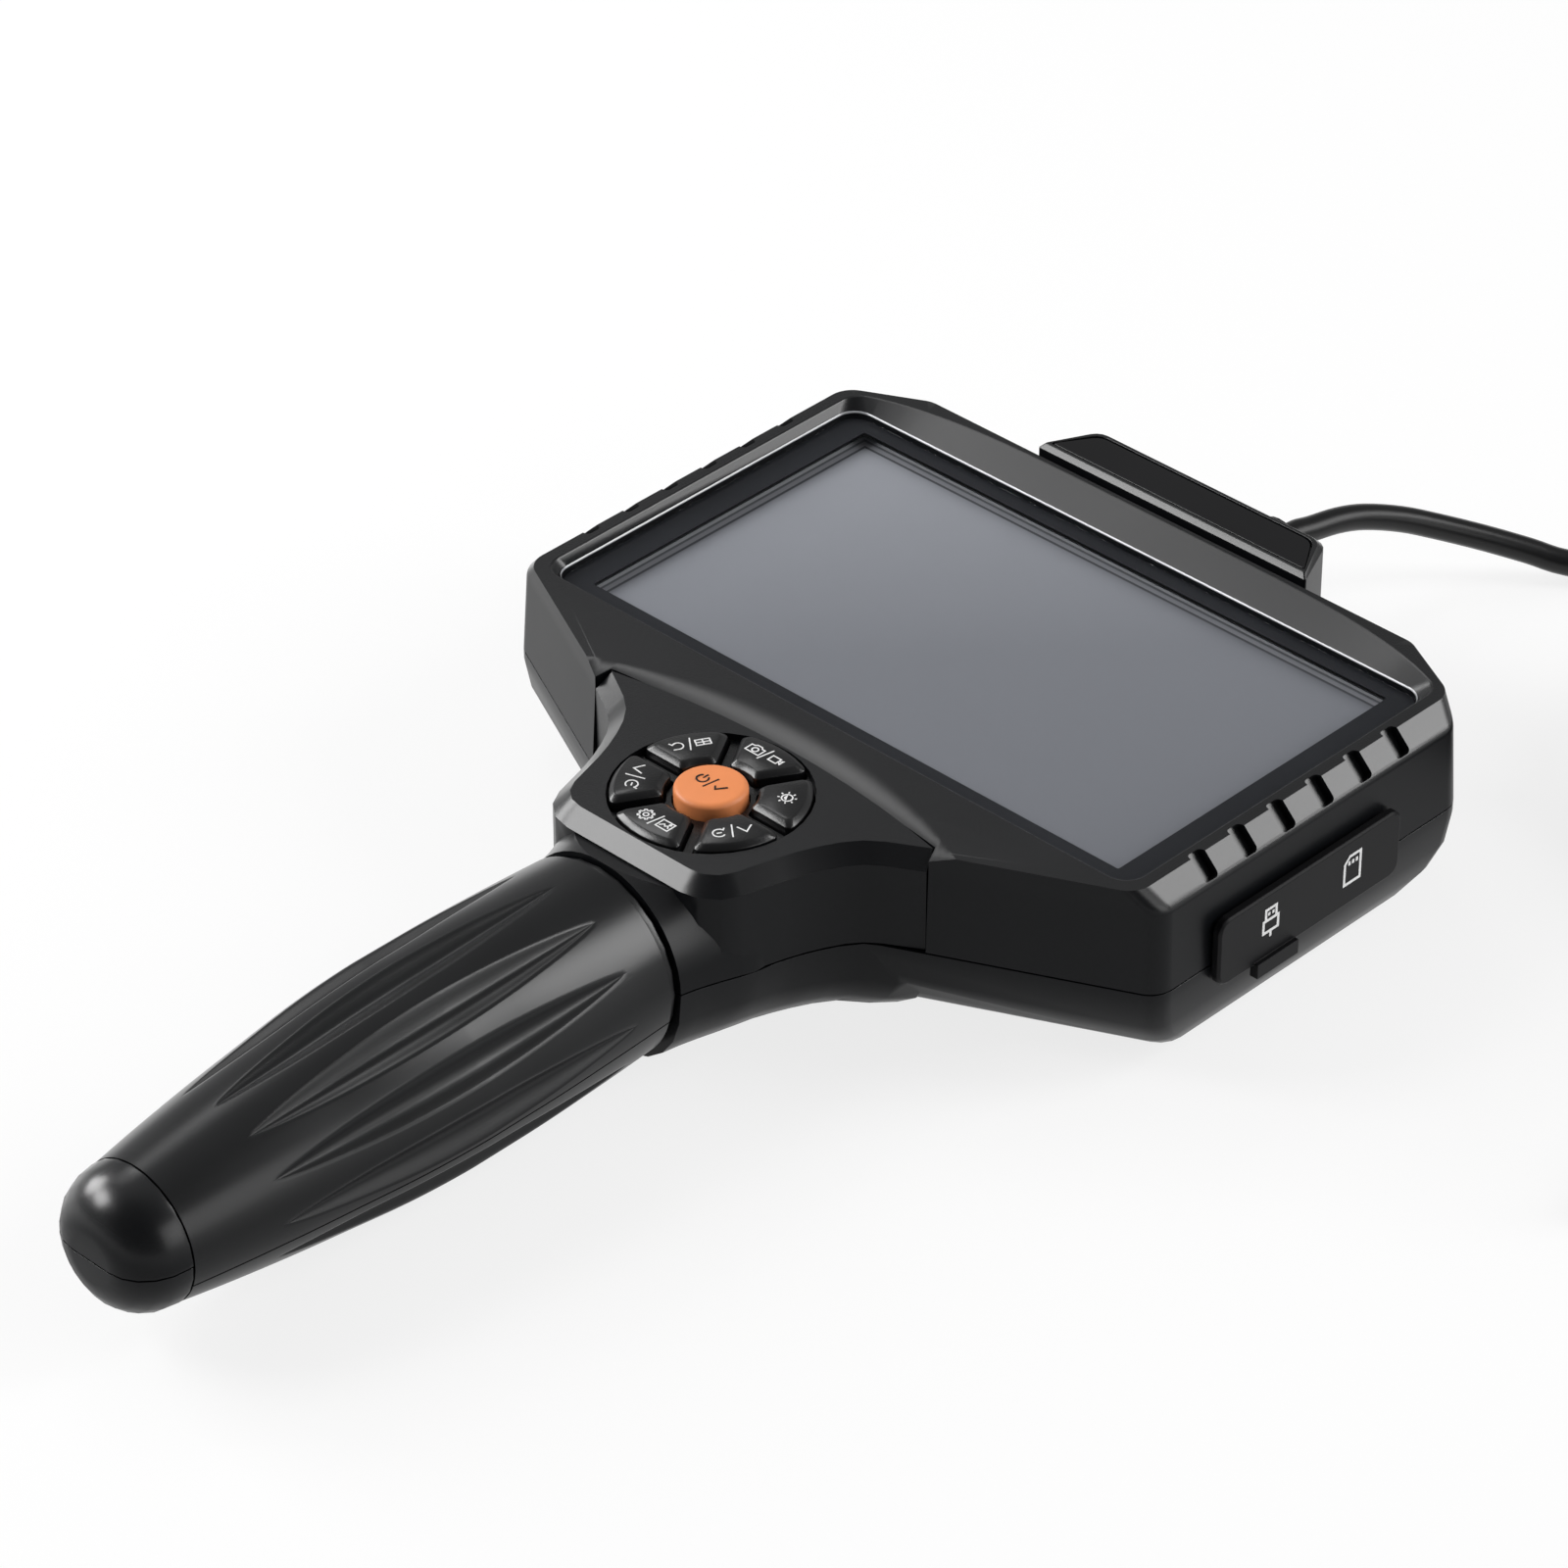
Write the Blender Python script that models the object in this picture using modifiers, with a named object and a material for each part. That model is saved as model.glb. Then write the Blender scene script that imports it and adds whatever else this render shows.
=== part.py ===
"""Handheld inspection camera: display head, keypad neck, round grip, and a probe on a coiled cable.

Metres, +Z up. The origin is on the flat back of the head, under the middle of the display window.
The grip points along -Y and the probe cable leaves along +Y.
"""

from math import asin, cos, dist, pi, radians, sin, sqrt, tan

import bmesh
import bpy
from mathutils import Matrix, Vector

# Clearances
GAP = 0.0003
KEY_CLEARANCE = 0.0003
WELD_DISTANCE = 0.000002

# Display stack
WINDOW_WIDTH = 0.1107
WINDOW_HEIGHT = 0.0623
GLASS_SIDE_BORDER = 0.0052
GLASS_TOP_BORDER = 0.0030
GLASS_BOTTOM_BORDER = 0.0040
GLASS_THICKNESS = 0.0011
GLASS_CORNER = 0.0035
TAPE_THICKNESS = 0.0003
LEDGE_THICKNESS = 0.0010
LEDGE_SETBACK = 0.0010
LCD_MARGIN = 0.0016
LCD_THICKNESS = 0.0028
LCD_FRAME_WALL = 0.0010
LCD_FRAME_LIP = 0.0050

# Head mouldings
PARTING_HEIGHT = 0.0175
FRONT_RISE = 0.0162
RIM_RISE = 0.00165
RIM_LEAN = 0.0009
RIM_WIDTH = 0.0023
SIDE_CHAMFER = 0.0033
HEAD_DRAFT = 0.0007
HEAD_CORNER = 0.0045
HEAD_WALL = 0.0022
SIDE_TOP_MARGIN = 0.0014
SIDE_BOTTOM_MARGIN = 0.0016
TOP_BEZEL = 0.0076
TOP_RIM = 0.00065
TOP_CUT = 0.0132
ARCH_FALL = 0.0065
ARCH_POWER = 4.6
BACK_STRAIGHT = 0.0020
BACK_ROUND_SIDE = 0.0090
BACK_ROUND_ENDS = 0.0190
SLOT_COUNT = 6
SLOT_PITCH = 0.0089
SLOT_WIDTH = 0.0032
SLOT_LENGTH = 0.0050
SLOT_DEPTH = 0.0015
SLOT_SHIFT = -0.0010
SLOT_RAISE = 0.0004

# Neck, deck and keypad
PAD_RISE = 0.0009
BAND_DROP = 0.0043
BAND_WIDTH = 0.0054
BAND_SLOPE = radians(20)
BAND_CORNER_RUN = 0.0043
PAD_TIP_HALF = 0.0339
PAD_TIP_DROP = 0.0037
PAD_SIDE = ((0.0250, 0.0094), (0.0200, 0.0181), (0.0169, 0.0284))
PAD_LENGTH = 0.0325
PAD_CORNER = 0.0055
DECK_CHAMFER = 0.0026
DECK_WALL = 0.0020
DECK_FLOOR = 0.0015
NECK_WALL = 0.0040
NECK_POWER_HEAD = 3.2
NECK_POWER_COLLAR = 2.4
RECESS_RADIUS = 0.0159
RECESS_LIP = 0.0004
RECESS_DEPTH = 0.0012
KEY_INNER = 0.0072
KEY_SPACING = 0.0020
KEY_RIM_GAP = 0.0004
KEY_CORNER = 0.0009
KEY_RISE = 0.0010
KEY_BEVEL = 0.0006
KEY_TRAVEL = 0.0008
KEY_FLANGE = 0.0010
FLANGE_REACH = 0.0006
OK_DIAMETER = 0.01145
OK_RISE = 0.0018
OK_ROUND = 0.0010
SWITCH_SIZE = 0.0060
SWITCH_BODY = 0.0012
SWITCH_PLUNGER = 0.0017
KEY_BOARD_HALF = 0.0196
KEY_BOARD_REACH = 0.0154
BOARD_THICKNESS = 0.0016
STANDOFF_RADIUS = 0.0014

# Sleeve, grip and tail
SLEEVE_END = 0.0844
SLEEVE_START = 0.0726
COLLAR_RADIUS = 0.0164
COLLAR_WIDTH = 0.0016
COLLAR_SINK = 0.0007
SLEEVE_DIP = 0.0024
SLEEVE_POWER = 1.25
GRIP_WALL = 0.0024
GRIP_END = 0.1770
GRIP_SHAPE = (
    (0.0, 0.0165), (0.15, 0.0171), (0.30, 0.01742), (0.48, 0.0172), (0.70, 0.0153), (0.87, 0.0134),
    (1.0, 0.0116),
)
GRIP_SEAM_DROP = 0.0040
FLUTE_COUNT = 12
FLUTE_START = 0.0950
FLUTE_END = 0.1610
FLUTE_WIDTH = 0.0042
FLUTE_DEPTH = 0.0012
CAP_LENGTH = 0.0092
CAP_FLAT = 0.0040
CAP_CROWN = 0.0085

# Battery and boards
CELL_RADIUS = 0.0092
CELL_LENGTH = 0.0652
CELL_START = 0.0915
TAB_RADIUS = 0.0060
TAB_THICKNESS = 0.0006
BOARD_BAY_GAP = 0.00075
BOARD_INSET = 0.00315
BOARD_DROP = 0.0002
BOARD_REST_RADIUS = 0.0021
BOARD_REST_INSET = (0.0100, 0.0025)
SHIELD_SIZE = (0.0340, 0.0300, 0.0026)
SHIELD_PLACE = (-0.0130, 0.0010)
CHIP_SIZE = (0.0120, 0.0120, 0.0012)
CHIP_PLACE = (0.0220, -0.0020)
SOCKET_SIZE = (0.0120, 0.0040, 0.0020)
WIRE_RADIUS = 0.0009
RIBBON_WIDTH = 0.0080
RIBBON_THICKNESS = 0.0004
RIBBON_LANDING = 0.0020

# Ports and flap
FLAP_BOTTOM_Y = -0.0242
FLAP_TOP_Y = 0.0180
FLAP_ABOVE_PARTING = 0.0083
FLAP_HEIGHT = 0.0121
FLAP_THICKNESS = 0.0015
FLAP_CORNER = 0.0022
FLAP_NUB = (-0.0160, -0.0065)
FLAP_NUB_DROP = 0.0020
FLAP_NUB_HEIGHT = 0.0026
FLAP_NUB_RISE = 0.0008
FLAP_OVERLAP = 0.0016
BAY_DEPTH = 0.0053
USB_SIZE = (0.0074, 0.0092, 0.0033)
USB_PLACE = -0.0125
CARD_SIZE = (0.0130, 0.0126, 0.0021)
CARD_PLACE = 0.0065
PORT_WALL = 0.0004

# Cable block and strain relief
BLOCK_FRONT_HALF = 0.0284
BLOCK_REAR_HALF = 0.0240
BLOCK_LENGTH = 0.0102
BLOCK_RISE = 0.0031
BLOCK_BOTTOM = 0.0060
BLOCK_CORNER = 0.0028
BLOCK_EDGE = 0.0008
PLATE_MARGIN = 0.0014
PLATE_THICKNESS = 0.0008
PLATE_SINK = 0.0001
NUT_RADIUS = 0.0068
NUT_LENGTH = 0.0036
BOOT_RADIUS = 0.0054
BOOT_TIP_RADIUS = 0.0047
BOOT_ROUND = 0.0016
CABLE_HOLE = 0.0030

# Probe cable, coil and camera
CABLE_DIAMETER = 0.0044
COIL_TURNS = 16.25
COIL_LAYERS = 4
COIL_INNER = 0.0182
COIL_SPACING = 0.00045
COIL_POINTS_PER_TURN = 24
TIE_THICKNESS = 0.0006
TIE_WIDTH = 0.0060
TIE_ANGLES = (radians(45), radians(225))
TAIL_DROPS = ((0.0150, 0.06), (0.0300, 0.27), (0.0450, 0.60), (0.0600, 0.90), (0.0700, 1.0))
CAMERA_RADIUS = 0.0040
CAMERA_LENGTH = 0.0280
CAMERA_WALL = 0.0005
CAMERA_RECESS = 0.0012
LENS_RADIUS = 0.0015
FERRULE_RADIUS = 0.0032
FERRULE_LENGTH = 0.0080
# Route of the free lead between the strain relief and the coil, chosen by hand
LEAD_ROUTE = (
    (0.0000, 0.0723, 0.0173), (0.0001, 0.0755, 0.0172), (0.0006, 0.0786, 0.0167), (0.0016, 0.0845, 0.0161),
    (0.0031, 0.0898, 0.0150), (0.0059, 0.0960, 0.0129), (0.0093, 0.1012, 0.0106), (0.0144, 0.1073, 0.0078),
    (0.0200, 0.1127, 0.0052), (0.0254, 0.1167, 0.0033), (0.0360, 0.1245, 0.0023), (0.0500, 0.1318, 0.0022),
    (0.0660, 0.1364, 0.0022), (0.0820, 0.1379, 0.0027), (0.0933, 0.1380, 0.0031),
)

# Screws from the back
SCREW_RADIUS = 0.0013
SCREW_HEAD_RADIUS = 0.0024
SCREW_HEAD_HEIGHT = 0.0016
SCREW_GRIP = 0.0060
POST_RADIUS = 0.0025
BOSS_RADIUS = 0.0040
HEAD_POST_X = 0.0400
HEAD_POST_TOP = 0.0373
HEAD_POST_LOW = -0.0382
DECK_POST = (0.0200, 0.0066)
NECK_POST_SETBACK = 0.0029
NECK_POST_COVER = 0.0030
HEAD_SCREW_SINK = 0.0068
DECK_SCREW_SINK = 0.0036
NECK_SCREW_SINK = 0.0030

# Facet counts
CORNER_STEPS = 3
ROUND_STEPS = 5
TURN_STEPS = 24
GRIP_STEPS = 26
POST_SIDES = 10

# Heights worked out from the driving sizes
GLASS_Z = PARTING_HEIGHT + FRONT_RISE
RIM_Z = GLASS_Z + RIM_RISE
PAD_Z = GLASS_Z + PAD_RISE
GLASS_LOW = GLASS_Z - GLASS_THICKNESS
TAPE_HIGH = GLASS_LOW - GAP
LEDGE_HIGH = TAPE_HIGH - TAPE_THICKNESS - GAP
LEDGE_LOW = LEDGE_HIGH - LEDGE_THICKNESS
LCD_HIGH = LEDGE_LOW - GAP
LCD_LOW = LCD_HIGH - LCD_THICKNESS
FLOOR_HIGH = PAD_Z - RECESS_DEPTH
FLOOR_LOW = FLOOR_HIGH - DECK_FLOOR
FLANGE_HIGH = FLOOR_LOW - GAP
FLANGE_LOW = FLANGE_HIGH - KEY_FLANGE
SWITCH_TOP = FLANGE_LOW - KEY_TRAVEL - GAP
SWITCH_LOW = SWITCH_TOP - SWITCH_BODY - SWITCH_PLUNGER
KEY_BOARD_HIGH = SWITCH_LOW - GAP
KEY_BOARD_LOW = KEY_BOARD_HIGH - BOARD_THICKNESS
MAIN_BOARD_HIGH = PARTING_HEIGHT - BOARD_DROP
MAIN_BOARD_LOW = MAIN_BOARD_HIGH - BOARD_THICKNESS
FRONT_LOW = PARTING_HEIGHT + GAP / 2
REAR_HIGH = PARTING_HEIGHT - GAP / 2

# Plan places worked out from the driving sizes
GLASS_HALF = WINDOW_WIDTH / 2 + GLASS_SIDE_BORDER
GLASS_TOP = WINDOW_HEIGHT / 2 + GLASS_TOP_BORDER
GLASS_BOTTOM = -WINDOW_HEIGHT / 2 - GLASS_BOTTOM_BORDER
RIM_INNER = GLASS_HALF + GAP + RIM_LEAN
RIM_HALF = RIM_INNER + RIM_WIDTH
WALL_HALF = RIM_HALF + SIDE_CHAMFER
SIDE_TOP = GLASS_TOP + SIDE_TOP_MARGIN
SIDE_BOTTOM = GLASS_BOTTOM - SIDE_BOTTOM_MARGIN
ARCH_TOP = GLASS_TOP + TOP_BEZEL
HEAD_TOP = ARCH_TOP + TOP_RIM
TOP_HALF = RIM_HALF - TOP_CUT
BAND_TOP = GLASS_BOTTOM - BAND_DROP
PAD_TOP = BAND_TOP - BAND_WIDTH
PAD_TIP = (PAD_TIP_HALF, PAD_TOP - PAD_TIP_DROP)
PAD_BOTTOM = PAD_TOP - PAD_LENGTH
KEYPAD_Y = PAD_TOP - RECESS_LIP - RECESS_RADIUS
KEY_OUTER = RECESS_RADIUS - KEY_RIM_GAP
KEY_MIDDLE = (KEY_INNER + KEY_OUTER) / 2
GRIP_START = SLEEVE_END + COLLAR_WIDTH + 2 * GAP
BLOCK_START = HEAD_TOP + HEAD_DRAFT + GAP
BLOCK_END = BLOCK_START + BLOCK_LENGTH
CORE_BORE = CELL_RADIUS + GAP
CORE_END = CELL_START + CELL_LENGTH + TAB_THICKNESS + 4 * GAP

for old in list(bpy.data.objects):
    bpy.data.objects.remove(old, do_unlink=True)

PARTS = bpy.data.collections.new("inspection_camera")
CUTTERS = bpy.data.collections.new("cutters")
for group in (PARTS, CUTTERS):
    bpy.context.scene.collection.children.link(group)
ASSEMBLY = bpy.data.objects.new("inspection_camera_origin", None)
PARTS.objects.link(ASSEMBLY)


def finish(name, colour, roughness, metallic=0.0):
    """A plain shader for one finish."""
    made = bpy.data.materials.new(name)
    made.use_nodes = True
    shader = made.node_tree.nodes["Principled BSDF"]
    shader.inputs["Base Color"].default_value = (*colour, 1.0)
    shader.inputs["Roughness"].default_value = roughness
    shader.inputs["Metallic"].default_value = metallic
    return made


SHELL = finish("satin_charcoal_plastic", (0.022, 0.023, 0.025), 0.42)
RUBBER = finish("black_grip_rubber", (0.018, 0.018, 0.020), 0.55)
KEY_RUBBER = finish("black_key_rubber", (0.015, 0.015, 0.016), 0.45)
ORANGE = finish("orange_button", (0.85, 0.22, 0.05), 0.45)
GLOSS = finish("gloss_black", (0.008, 0.008, 0.009), 0.08)
GLASS = finish("cover_glass", (0.02, 0.021, 0.024), 0.05)
SCREEN = finish("display_grey", (0.22, 0.23, 0.26), 0.25)
STEEL = finish("bright_steel", (0.62, 0.62, 0.63), 0.28, 1.0)
BOARD = finish("board_green", (0.02, 0.16, 0.07), 0.5)
TAPE = finish("black_tape", (0.01, 0.01, 0.01), 0.8)
CELL = finish("cell_wrap", (0.05, 0.22, 0.42), 0.35)
CABLE = finish("black_cable", (0.012, 0.012, 0.013), 0.4)
LENS = finish("lens_glass", (0.03, 0.03, 0.05), 0.03)
LAMP = finish("lamp_white", (0.9, 0.9, 0.85), 0.3)
PORT = finish("port_nickel", (0.55, 0.55, 0.56), 0.3, 1.0)


def add_piece(name, mesh, material=None, place=(0.0, 0.0, 0.0), turn=(0.0, 0.0, 0.0)):
    """A named part, or a cutter where it has no material."""
    piece = bpy.data.objects.new(name, mesh)
    piece.location = place
    piece.rotation_euler = turn
    if material:
        mesh.materials.clear()
        mesh.materials.append(material)
        PARTS.objects.link(piece)
        piece.parent = ASSEMBLY
    else:
        CUTTERS.objects.link(piece)
        piece.hide_render = True
        piece.display_type = "WIRE"
    return piece


def from_bmesh(name, body, material=None, place=(0.0, 0.0, 0.0), turn=(0.0, 0.0, 0.0)):
    """Close a bmesh into a piece with its faces pointing out."""
    mesh = bpy.data.meshes.new(name)
    bmesh.ops.recalc_face_normals(body, faces=body.faces)
    body.to_mesh(mesh)
    body.free()
    return add_piece(name, mesh, material, place, turn)


def from_curve(name, curve, material=None, place=(0.0, 0.0, 0.0), turn=(0.0, 0.0, 0.0)):
    """Turn a curve into a closed mesh piece and drop the curve."""
    source = bpy.data.objects.new(name + "_curve", curve)
    CUTTERS.objects.link(source)
    bpy.context.view_layer.update()
    graph = bpy.context.evaluated_depsgraph_get()
    mesh = bpy.data.meshes.new_from_object(source.evaluated_get(graph))
    bpy.data.objects.remove(source)
    body = bmesh.new()
    body.from_mesh(mesh)
    bmesh.ops.remove_doubles(body, verts=body.verts, dist=WELD_DISTANCE)
    return from_bmesh(name, body, material, place, turn)


def prism(name, outlines, low, high, material=None, place=(0.0, 0.0, 0.0), turn=(0.0, 0.0, 0.0)):
    """A flat outline, with holes where more outlines follow, between two heights."""
    curve = bpy.data.curves.new(name, "CURVE")
    curve.dimensions = "2D"
    curve.fill_mode = "BOTH"
    curve.extrude = (high - low) / 2
    for outline in outlines:
        spline = curve.splines.new("POLY")
        spline.points.add(len(outline) - 1)
        spline.use_cyclic_u = True
        for point, (x, y) in zip(spline.points, outline):
            point.co = (x, y, 0.0, 1.0)
    middle = Matrix.Translation((0.0, 0.0, (low + high) / 2))
    made = from_curve(name, curve, material, place, turn)
    made.data.transform(middle)
    return made


def tube(name, points, radius, sides_level, material):
    """A round tube with filled ends along points."""
    curve = bpy.data.curves.new(name, "CURVE")
    curve.dimensions = "3D"
    curve.bevel_depth = radius
    curve.bevel_resolution = sides_level
    curve.use_fill_caps = True
    curve.twist_mode = "Z_UP"
    spline = curve.splines.new("POLY")
    spline.points.add(len(points) - 1)
    for point, place in zip(spline.points, points):
        point.co = (*place, 1.0)
    return from_curve(name, curve, material)


def loft(name, rings, material=None, place=(0.0, 0.0, 0.0), turn=(0.0, 0.0, 0.0)):
    """A closed body through rings that have as many points each."""
    body = bmesh.new()
    loops = [[body.verts.new(point) for point in ring] for ring in rings]
    for lower, upper in zip(loops, loops[1:]):
        for start in range(len(lower)):
            after = (start + 1) % len(lower)
            body.faces.new((lower[start], lower[after], upper[after], upper[start]))
    body.faces.new(loops[0])
    body.faces.new(loops[-1])
    return from_bmesh(name, body, material, place, turn)


def turned(
    name, profile, steps, material=None, place=(0.0, 0.0, 0.0), turn=(0.0, 0.0, 0.0), ring=False, phase=0.0
):
    """A turned piece from (radius, along) points down its outer side; a ring's profile is closed."""
    mesh = bpy.data.meshes.new(name)
    count = len(profile)
    edges = [(index, index + 1) for index in range(count - 1)]
    if ring:
        edges.append((count - 1, 0))
    points = [(radius * cos(phase), radius * sin(phase), along) for radius, along in profile]
    mesh.from_pydata(points, edges, [])
    piece = add_piece(name, mesh, material, place, turn)
    screw = piece.modifiers.new("turn", "SCREW")
    screw.axis = "Z"
    screw.angle = 2 * pi
    screw.steps = steps
    screw.render_steps = steps
    screw.use_merge_vertices = True
    screw.merge_threshold = WELD_DISTANCE
    screw.use_smooth_shade = True
    return piece


ALONG_GRIP = {"place": (0.0, 0.0, PARTING_HEIGHT), "turn": (pi / 2, 0.0, 0.0)}


def combine(target, tool, operation):
    """Cut a tool from a piece, or join it on."""
    modifier = target.modifiers.new(tool.name, "BOOLEAN")
    modifier.operation = operation
    modifier.object = tool
    modifier.solver = "EXACT"


def cut(target, *tools):
    for tool in tools:
        combine(target, tool, "DIFFERENCE")


def join(target, *tools):
    for tool in tools:
        combine(target, tool, "UNION")


def add_box(body, low, high):
    size = [b - a for a, b in zip(low, high)]
    middle = [(a + b) / 2 for a, b in zip(low, high)]
    bmesh.ops.create_cube(body, size=1.0, matrix=Matrix.Translation(middle) @ Matrix.Diagonal((*size, 1.0)))


def box(name, low, high, material=None):
    body = bmesh.new()
    add_box(body, low, high)
    return from_bmesh(name, body, material)


def add_post(body, x, y, radius, low, high, sides=POST_SIDES):
    place = Matrix.Translation((x, y, (low + high) / 2)) @ Matrix.Rotation(pi / sides, 4, "Z")
    bmesh.ops.create_cone(
        body, cap_ends=True, segments=sides, radius1=radius, radius2=radius, depth=high - low, matrix=place
    )


def posts(name, places, radius, low, high, material=None, sides=POST_SIDES):
    body = bmesh.new()
    for x, y in places:
        add_post(body, x, y, radius, low, high, sides)
    return from_bmesh(name, body, material)


def lift(outline, height):
    return [(x, y, height) for x, y in outline]


def mirrored(right):
    """A closed outline from its right half, listed from the bottom up."""
    return list(right) + [(-x, y) for x, y in reversed(right) if x > WELD_DISTANCE]


def rounded(points, steps=CORNER_STEPS):
    """Round the corners of a polygon of (x, y, radius) points."""
    outline = []
    count = len(points)
    for index, (x, y, radius) in enumerate(points):
        here = Vector((x, y))
        if radius <= 0.0:
            outline.append((x, y))
            continue
        before = (Vector(points[index - 1][:2]) - here).normalized()
        after = (Vector(points[(index + 1) % count][:2]) - here).normalized()
        half = before.angle(after) / 2
        centre = here + (before + after).normalized() * (radius / sin(half))
        start = here + before * (radius / tan(half)) - centre
        end = here + after * (radius / tan(half)) - centre
        sweep = start.angle_signed(end)
        for step in range(steps + 1):
            turned_by = Matrix.Rotation(-sweep * step / steps, 2)
            place = centre + turned_by @ start
            outline.append((place.x, place.y))
    return outline


def offset(outline, distance):
    """Move a counter-clockwise outline outwards."""
    moved = []
    count = len(outline)
    for index, (x, y) in enumerate(outline):
        before = Vector((x, y)) - Vector(outline[index - 1])
        after = Vector(outline[(index + 1) % count]) - Vector((x, y))
        first = Vector((before.y, -before.x)).normalized()
        second = Vector((after.y, -after.x)).normalized()
        shift = (first + second) * (distance / (1.0 + first.dot(second)))
        moved.append((x + shift.x, y + shift.y))
    return moved


def smooth(points, per_span):
    """Points on a smooth curve through the given points."""
    knots = [Vector(point) for point in points]
    knots = [2 * knots[0] - knots[1], *knots, 2 * knots[-1] - knots[-2]]
    curve = []
    for a, b, c, d in zip(knots, knots[1:], knots[2:], knots[3:]):
        for step in range(per_span):
            t = step / per_span
            bend = 2 * a - 5 * b + 4 * c - d
            twist = 3 * b - a - 3 * c + d
            curve.append((2 * b + (c - a) * t + bend * t**2 + twist * t**3) / 2)
    curve.append(knots[-2])
    return curve


def between(table, value):
    """Straight-line reading of a table of (value, result) rows in rising order."""
    if value <= table[0][0]:
        return table[0][1]
    for (low, first), (high, second) in zip(table, table[1:]):
        if value <= high:
            return first + (second - first) * (value - low) / (high - low)
    return table[-1][1]


# Plan outline of the keypad deck: the flat pad, and the wall below its chamfer
def pad_half():
    tip = Vector(PAD_TIP)
    side = [tip, *(Vector((half, PAD_TOP - drop)) for half, drop in PAD_SIDE)]
    curve = smooth(side, 3)
    curve[0] = curve[0].lerp(curve[1], 0.1)
    last = curve[-1]
    lean = (curve[-2] - last) / (curve[-2].y - last.y)
    foot = last + lean * (PAD_BOTTOM - last.y)
    corner = [(foot.x, foot.y, PAD_CORNER)]
    return [(point.x, point.y, 0.0) for point in curve], corner


def pad_outline():
    side, corner = pad_half()
    right = corner + side[::-1]
    left = [(-x, y, radius) for x, y, radius in reversed(right)]
    return rounded(right + left)


def arc_drop(half, fall, x):
    """Fall of a round arc that drops by fall at half its width."""
    radius = (half**2 + fall**2) / (2 * fall)
    return radius - sqrt(radius**2 - x**2)


def pad_arc(steps=10):
    """Upper edge of the pad, from its right tip to its left one."""
    xs = [PAD_TIP_HALF * (1 - 2 * step / steps) for step in range(steps + 1)]
    return [(x, PAD_TOP - arc_drop(PAD_TIP_HALF, PAD_TIP_DROP, x)) for x in xs]


def beside_pad(distance):
    """The pad's outline moved outwards along its sides and bottom only."""
    right = PAD[:PAD_SIDE_COUNT]
    beyond = 2 * Vector(right[-1]) - Vector(right[-2])
    moved = offset(mirrored(right + [tuple(beyond)]), distance)
    return moved[:PAD_SIDE_COUNT] + moved[PAD_SIDE_COUNT + 2:]


PAD = pad_outline()
PAD_SIDE_COUNT = len(PAD) // 2
DECK = beside_pad(DECK_CHAMFER)
DECK_TIP = DECK[PAD_SIDE_COUNT - 1]
DECK_HALF_TABLE = [(-DECK_TIP[1], DECK_TIP[0])]
for x, y in reversed(DECK[: PAD_SIDE_COUNT - 1]):
    if -y < SLEEVE_START:
        DECK_HALF_TABLE.append((-y, x))


def with_arc(outline):
    return outline[:PAD_SIDE_COUNT] + pad_arc() + outline[PAD_SIDE_COUNT:]


def deck_seam(gap):
    """Line along which the head's front moulding meets the deck, closed far below it."""
    reach = Vector(DECK_TIP) + (Vector(DECK_TIP) - Vector(PAD_TIP)) * 2.0
    right = [(reach.x, PAD_BOTTOM), tuple(reach), DECK_TIP]
    arc = pad_arc()
    left = [(-x, y) for x, y in reversed(right)]
    return offset(right + arc + left, gap)


def edge_line(first, second):
    """Outward normal and distance of the line from first to second on a counter-clockwise outline."""
    along = (Vector(second) - Vector(first)).normalized()
    normal = Vector((along.y, -along.x))
    return normal, normal.dot(Vector(first))


def meet(first, second, grow):
    (a, reach_a), (b, reach_b) = first, second
    reach_a += grow
    reach_b += grow
    turn = a.x * b.y - a.y * b.x
    return ((reach_a * b.y - reach_b * a.y) / turn, (a.x * reach_b - b.x * reach_a) / turn)


HEAD_FOOT = DECK_TIP[1] - 2 * DECK_CHAMFER


def head_outline(side, grow):
    """Plan outline of the head at a side-wall half width, grown outwards."""
    lines = [
        (Vector((0.0, -1.0)), -HEAD_FOOT),
        edge_line(DECK_TIP, (RIM_HALF, SIDE_BOTTOM)),
        (Vector((1.0, 0.0)), side),
        edge_line((RIM_HALF, SIDE_TOP), (TOP_HALF, HEAD_TOP)),
        (Vector((0.0, 1.0)), HEAD_TOP),
    ]
    radius = HEAD_CORNER
    right = [meet(first, second, grow) for first, second in zip(lines, lines[1:])]
    corners = [(x, y, radius) for x, y in right]
    return rounded(corners + [(-x, y, r) for x, y, r in reversed(corners)])


def rounded_rectangle(half_x, low_y, high_y, radius):
    corners = [(half_x, low_y), (half_x, high_y), (-half_x, high_y), (-half_x, low_y)]
    return rounded([(x, y, radius) for x, y in corners])


HEAD_POSTS = [(side * HEAD_POST_X, y) for side in (1, -1) for y in (HEAD_POST_TOP, HEAD_POST_LOW)]
DECK_POSTS = [(side * DECK_POST[0], PAD_TOP - DECK_POST[1]) for side in (1, -1)]
NECK_POSTS = [(0.0, -SLEEVE_END + NECK_POST_SETBACK)]
SCREW_PLACES = (
    [(x, y, HEAD_SCREW_SINK) for x, y in HEAD_POSTS]
    + [(x, y, DECK_SCREW_SINK) for x, y in DECK_POSTS]
    + [(x, y, NECK_SCREW_SINK) for x, y in NECK_POSTS]
)
SWITCH_PLACES = [(0.0, KEYPAD_Y)] + [
    (KEY_MIDDLE * cos(radians(30 + 60 * turn)), KEYPAD_Y + KEY_MIDDLE * sin(radians(30 + 60 * turn)))
    for turn in range(6)
]
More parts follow.
